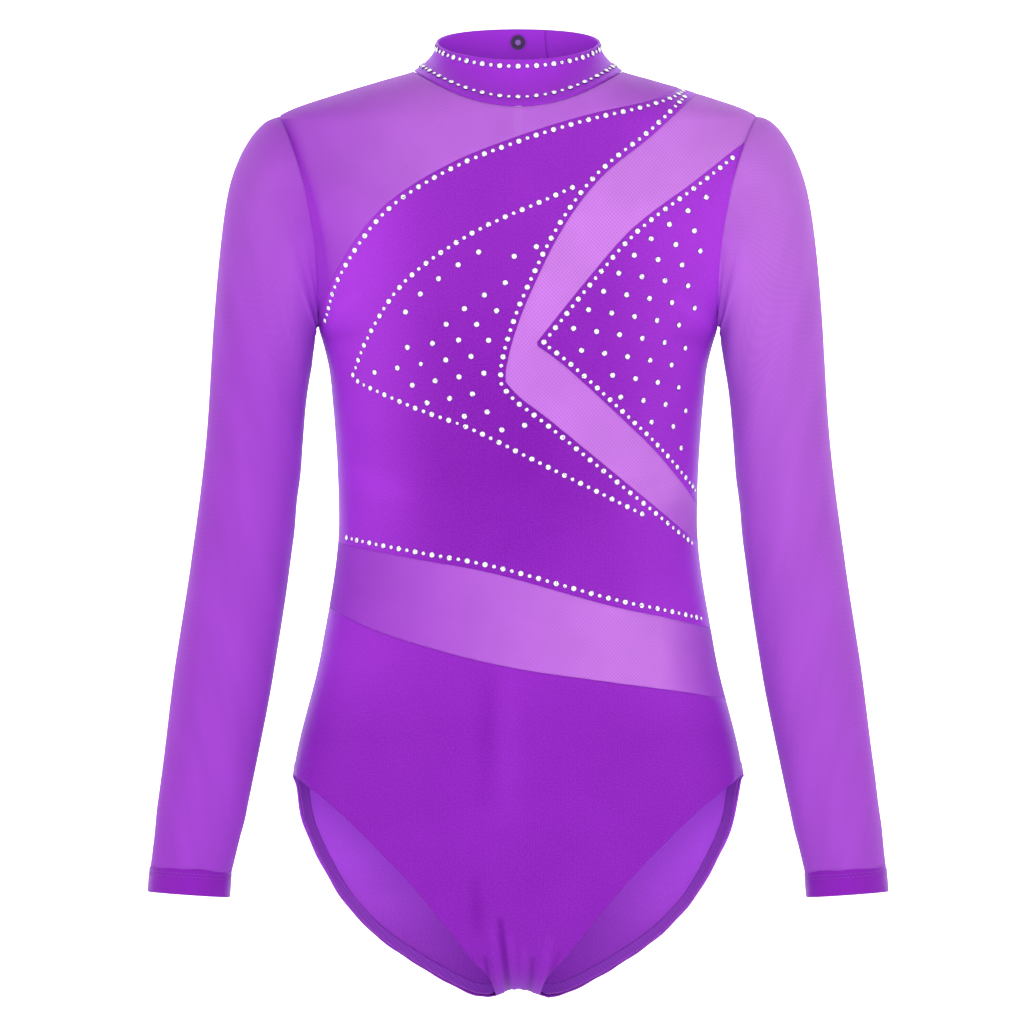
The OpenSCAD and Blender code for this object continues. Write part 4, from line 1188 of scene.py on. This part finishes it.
for piece, node in ((band, "collar_band"), (chest, "chest_panel"), (wedge, "side_wedge"),
                    (brief, "brief_front"), (seat, "back_panel"), (binding, "slit_binding")):
    place(piece, "stretch_satin", node)
for piece, node in ((yoke, "yoke_mesh"), (chevron, "chevron_mesh"), (waist, "waist_mesh"),
                    (backYoke, "back_yoke_mesh")):
    place(piece, "stretch_mesh", node)
for piece in gusset:
    place(piece, "lining", "gusset_lining")
for hand in ("left", "right"):
    for piece in armTapes[hand]:
        place(piece, "seam_tape", hand + "_armhole_tape")
    for piece in legElastics[hand]:
        place(piece, "seam_tape", hand + "_leg_elastic")
for piece in legThreads + slitThreads:
    place(piece, "seam_tape")
for name, piece in stoneRows.items():
    place(piece, "crystal", stoneNode(name))

# the span just beyond the armpit, outward and a little down, where the sleeve would start to follow the arm,
# is worked out; the sleeve itself is only baked in place
shoulderBend = dict(tilt=11, clear=1, length=12)
blendTilt = math.radians(shoulderBend["tilt"])
blendWay = np.array([math.cos(blendTilt), 0, -math.sin(blendTilt)])
blendFrom = float(blendWay @ [cut["chest"] / 2, 0, -armpit] + shoulderBend["clear"]) * mm
blendTo = blendFrom + shoulderBend["length"] * mm
for hand, flip in (("left", 1), ("right", -1)):
    body = hand + "_sleeve"
    start, end = (blendWay * reach * [flip, 1, 1] for reach in (blendFrom, blendTo))
    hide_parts(hand + "_sleeve")
    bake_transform(sleeves[hand], "bodice", body, start=tuple(start), end=tuple(end))
    place(cuffs[hand], "stretch_satin", hand + "_cuff_hem", body=body)
    place(cuffThreads[hand], "seam_tape", body=body)
tabStart, tabStop = collarAt(np.array([tabRoot + 1.0, tabRoot + 8.0]), 0.5, 2.0) * mm
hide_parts("collar_tab")
tuple(tabStart)
tuple(tabStop)
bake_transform(tab)

declare(yoke, ["collarBand"])
declare(chest, ["yokeNet"])
declare(chevron, ["chestSatin"])
declare(wedge, ["chevronNet"])
declare(waist, ["chestSatin"])
declare(brief, ["waistNet"])
declare(backYoke, ["collarBand"], binding, *slitThreads)
declare(seat, ["backYokeNet"], *legThreads)
for hand in ("left", "right"):
    declare(sleeves[hand], ["yokeNet"], cuffs[hand], cuffThreads[hand])

# floor, light and camera
stageLook = dict(floor=-0.66, wall=1.3, bend=0.6, high=2.6, glow=0.95)


def backdrop():
    look = stageLook
    arc = np.linspace(0, math.pi / 2, 16)
    line = [(-3.5, look["floor"])]
    line += [(look["wall"] + look["bend"] * math.sin(a), look["floor"] + look["bend"] * (1 - math.cos(a)))
             for a in arc]
    line.append((look["wall"] + look["bend"], look["high"]))
    points = [(x / mm, y / mm, z / mm) for x in (-4, 4) for y, z in line]
    n = len(line)
    faces = [(k, k + n, k + n + 1, k + 1) for k in range(n - 1)]
    material, tree, shader = startMaterial("paintedBackdrop")  # matt white paint, almost without shading
    spot = addNode(tree, "TexCoord").outputs["Object"]
    mottle = addNode(tree, "TexNoise", {"Vector": spot, "Scale": 2.0})
    tone = addNode(tree, "Mix", {"Factor": mottle.outputs[0], "A": linear("#FAFAFA"),
                                 "B": linear("#FFFFFF")}, data_type="RGBA")
    tree.links.new(tone.outputs[2], shader.inputs["Base Color"])
    shader.inputs["Roughness"].default_value = 0.9
    shader.inputs["Emission Color"].default_value = linear("#FFFFFF")
    depth = addNode(tree, "SeparateXYZ", {0: spot}).outputs[1]
    glow = addNode(tree, "MapRange", {"Value": depth, "From Min": look["wall"] - 0.5,
                                      "From Max": look["wall"], "To Max": look["glow"]})
    tree.links.new(glow.outputs[0], shader.inputs["Emission Strength"])
    behind = addNode(tree, "NewGeometry").outputs["Backfacing"]
    seen = addNode(tree, "Math", {0: 1.0, 1: behind}, operation="SUBTRACT")
    tree.links.new(seen.outputs[0], shader.inputs["Alpha"])  # not in the way of views from behind
    newPiece("backdrop", points, faces, material=material)


lights = dict(  # place, aim, size and power of each soft light
    leftSoft=((-2.1, -1.3, 0.1), (0, 0, -0.29), 1.4, 9), rightSoft=((2.1, -1.3, 0.1), (0, 0, -0.29), 1.4, 9),
    frontSoft=((0, -3.0, -0.3), (0, 0, -0.29), 1.2, 36), backSoft=((0, 1.0, 1.2), (0, 0, -0.29), 1.4, 2),
    seatSoft=((0, -0.02, -0.43), (0, 0.1, -0.46), 0.16, 0.04),
    neckSoft=((0, -0.03, -0.03), (0, 0.05, 0.01), 0.05, 0.024))


def lightUp():
    for name, (spot, target, size, power) in lights.items():
        lamp = bpy.data.lights.new(name, "AREA")
        lamp.shape, lamp.size, lamp.energy = "SQUARE", size, power
        holder = bpy.data.objects.new(name, lamp)
        bpy.context.collection.objects.link(holder)
        holder.location = spot
        holder.visible_camera = False
        aim = Vector(target) - holder.location
        holder.rotation_euler = aim.to_track_quat("-Z", "Y").to_euler()
    world = bpy.data.worlds.new("softRoom")
    bpy.context.scene.world = world
    world.use_nodes = True
    world.node_tree.nodes["Background"].inputs[0].default_value = linear("#FFFFFF")
    world.node_tree.nodes["Background"].inputs[1].default_value = 0.5


cameraLook = dict(spot=(-0.0039, -12, -0.2864), viewWidth=0.6605, sensor=36)


def shoot():
    look = cameraLook
    lens = bpy.data.cameras.new("longLens")
    lens.sensor_width = look["sensor"]
    lens.lens = look["sensor"] * -look["spot"][1] / look["viewWidth"]
    lens.clip_end = 60
    camera = bpy.data.objects.new("longLens", lens)
    bpy.context.collection.objects.link(camera)
    camera.location = look["spot"]
    camera.rotation_euler = (math.pi / 2, 0, 0)
    bpy.context.scene.camera = camera
    bpy.context.scene.view_settings.view_transform = "Standard"


backdrop()
lightUp()
shoot()
print("stage, lights and camera set")
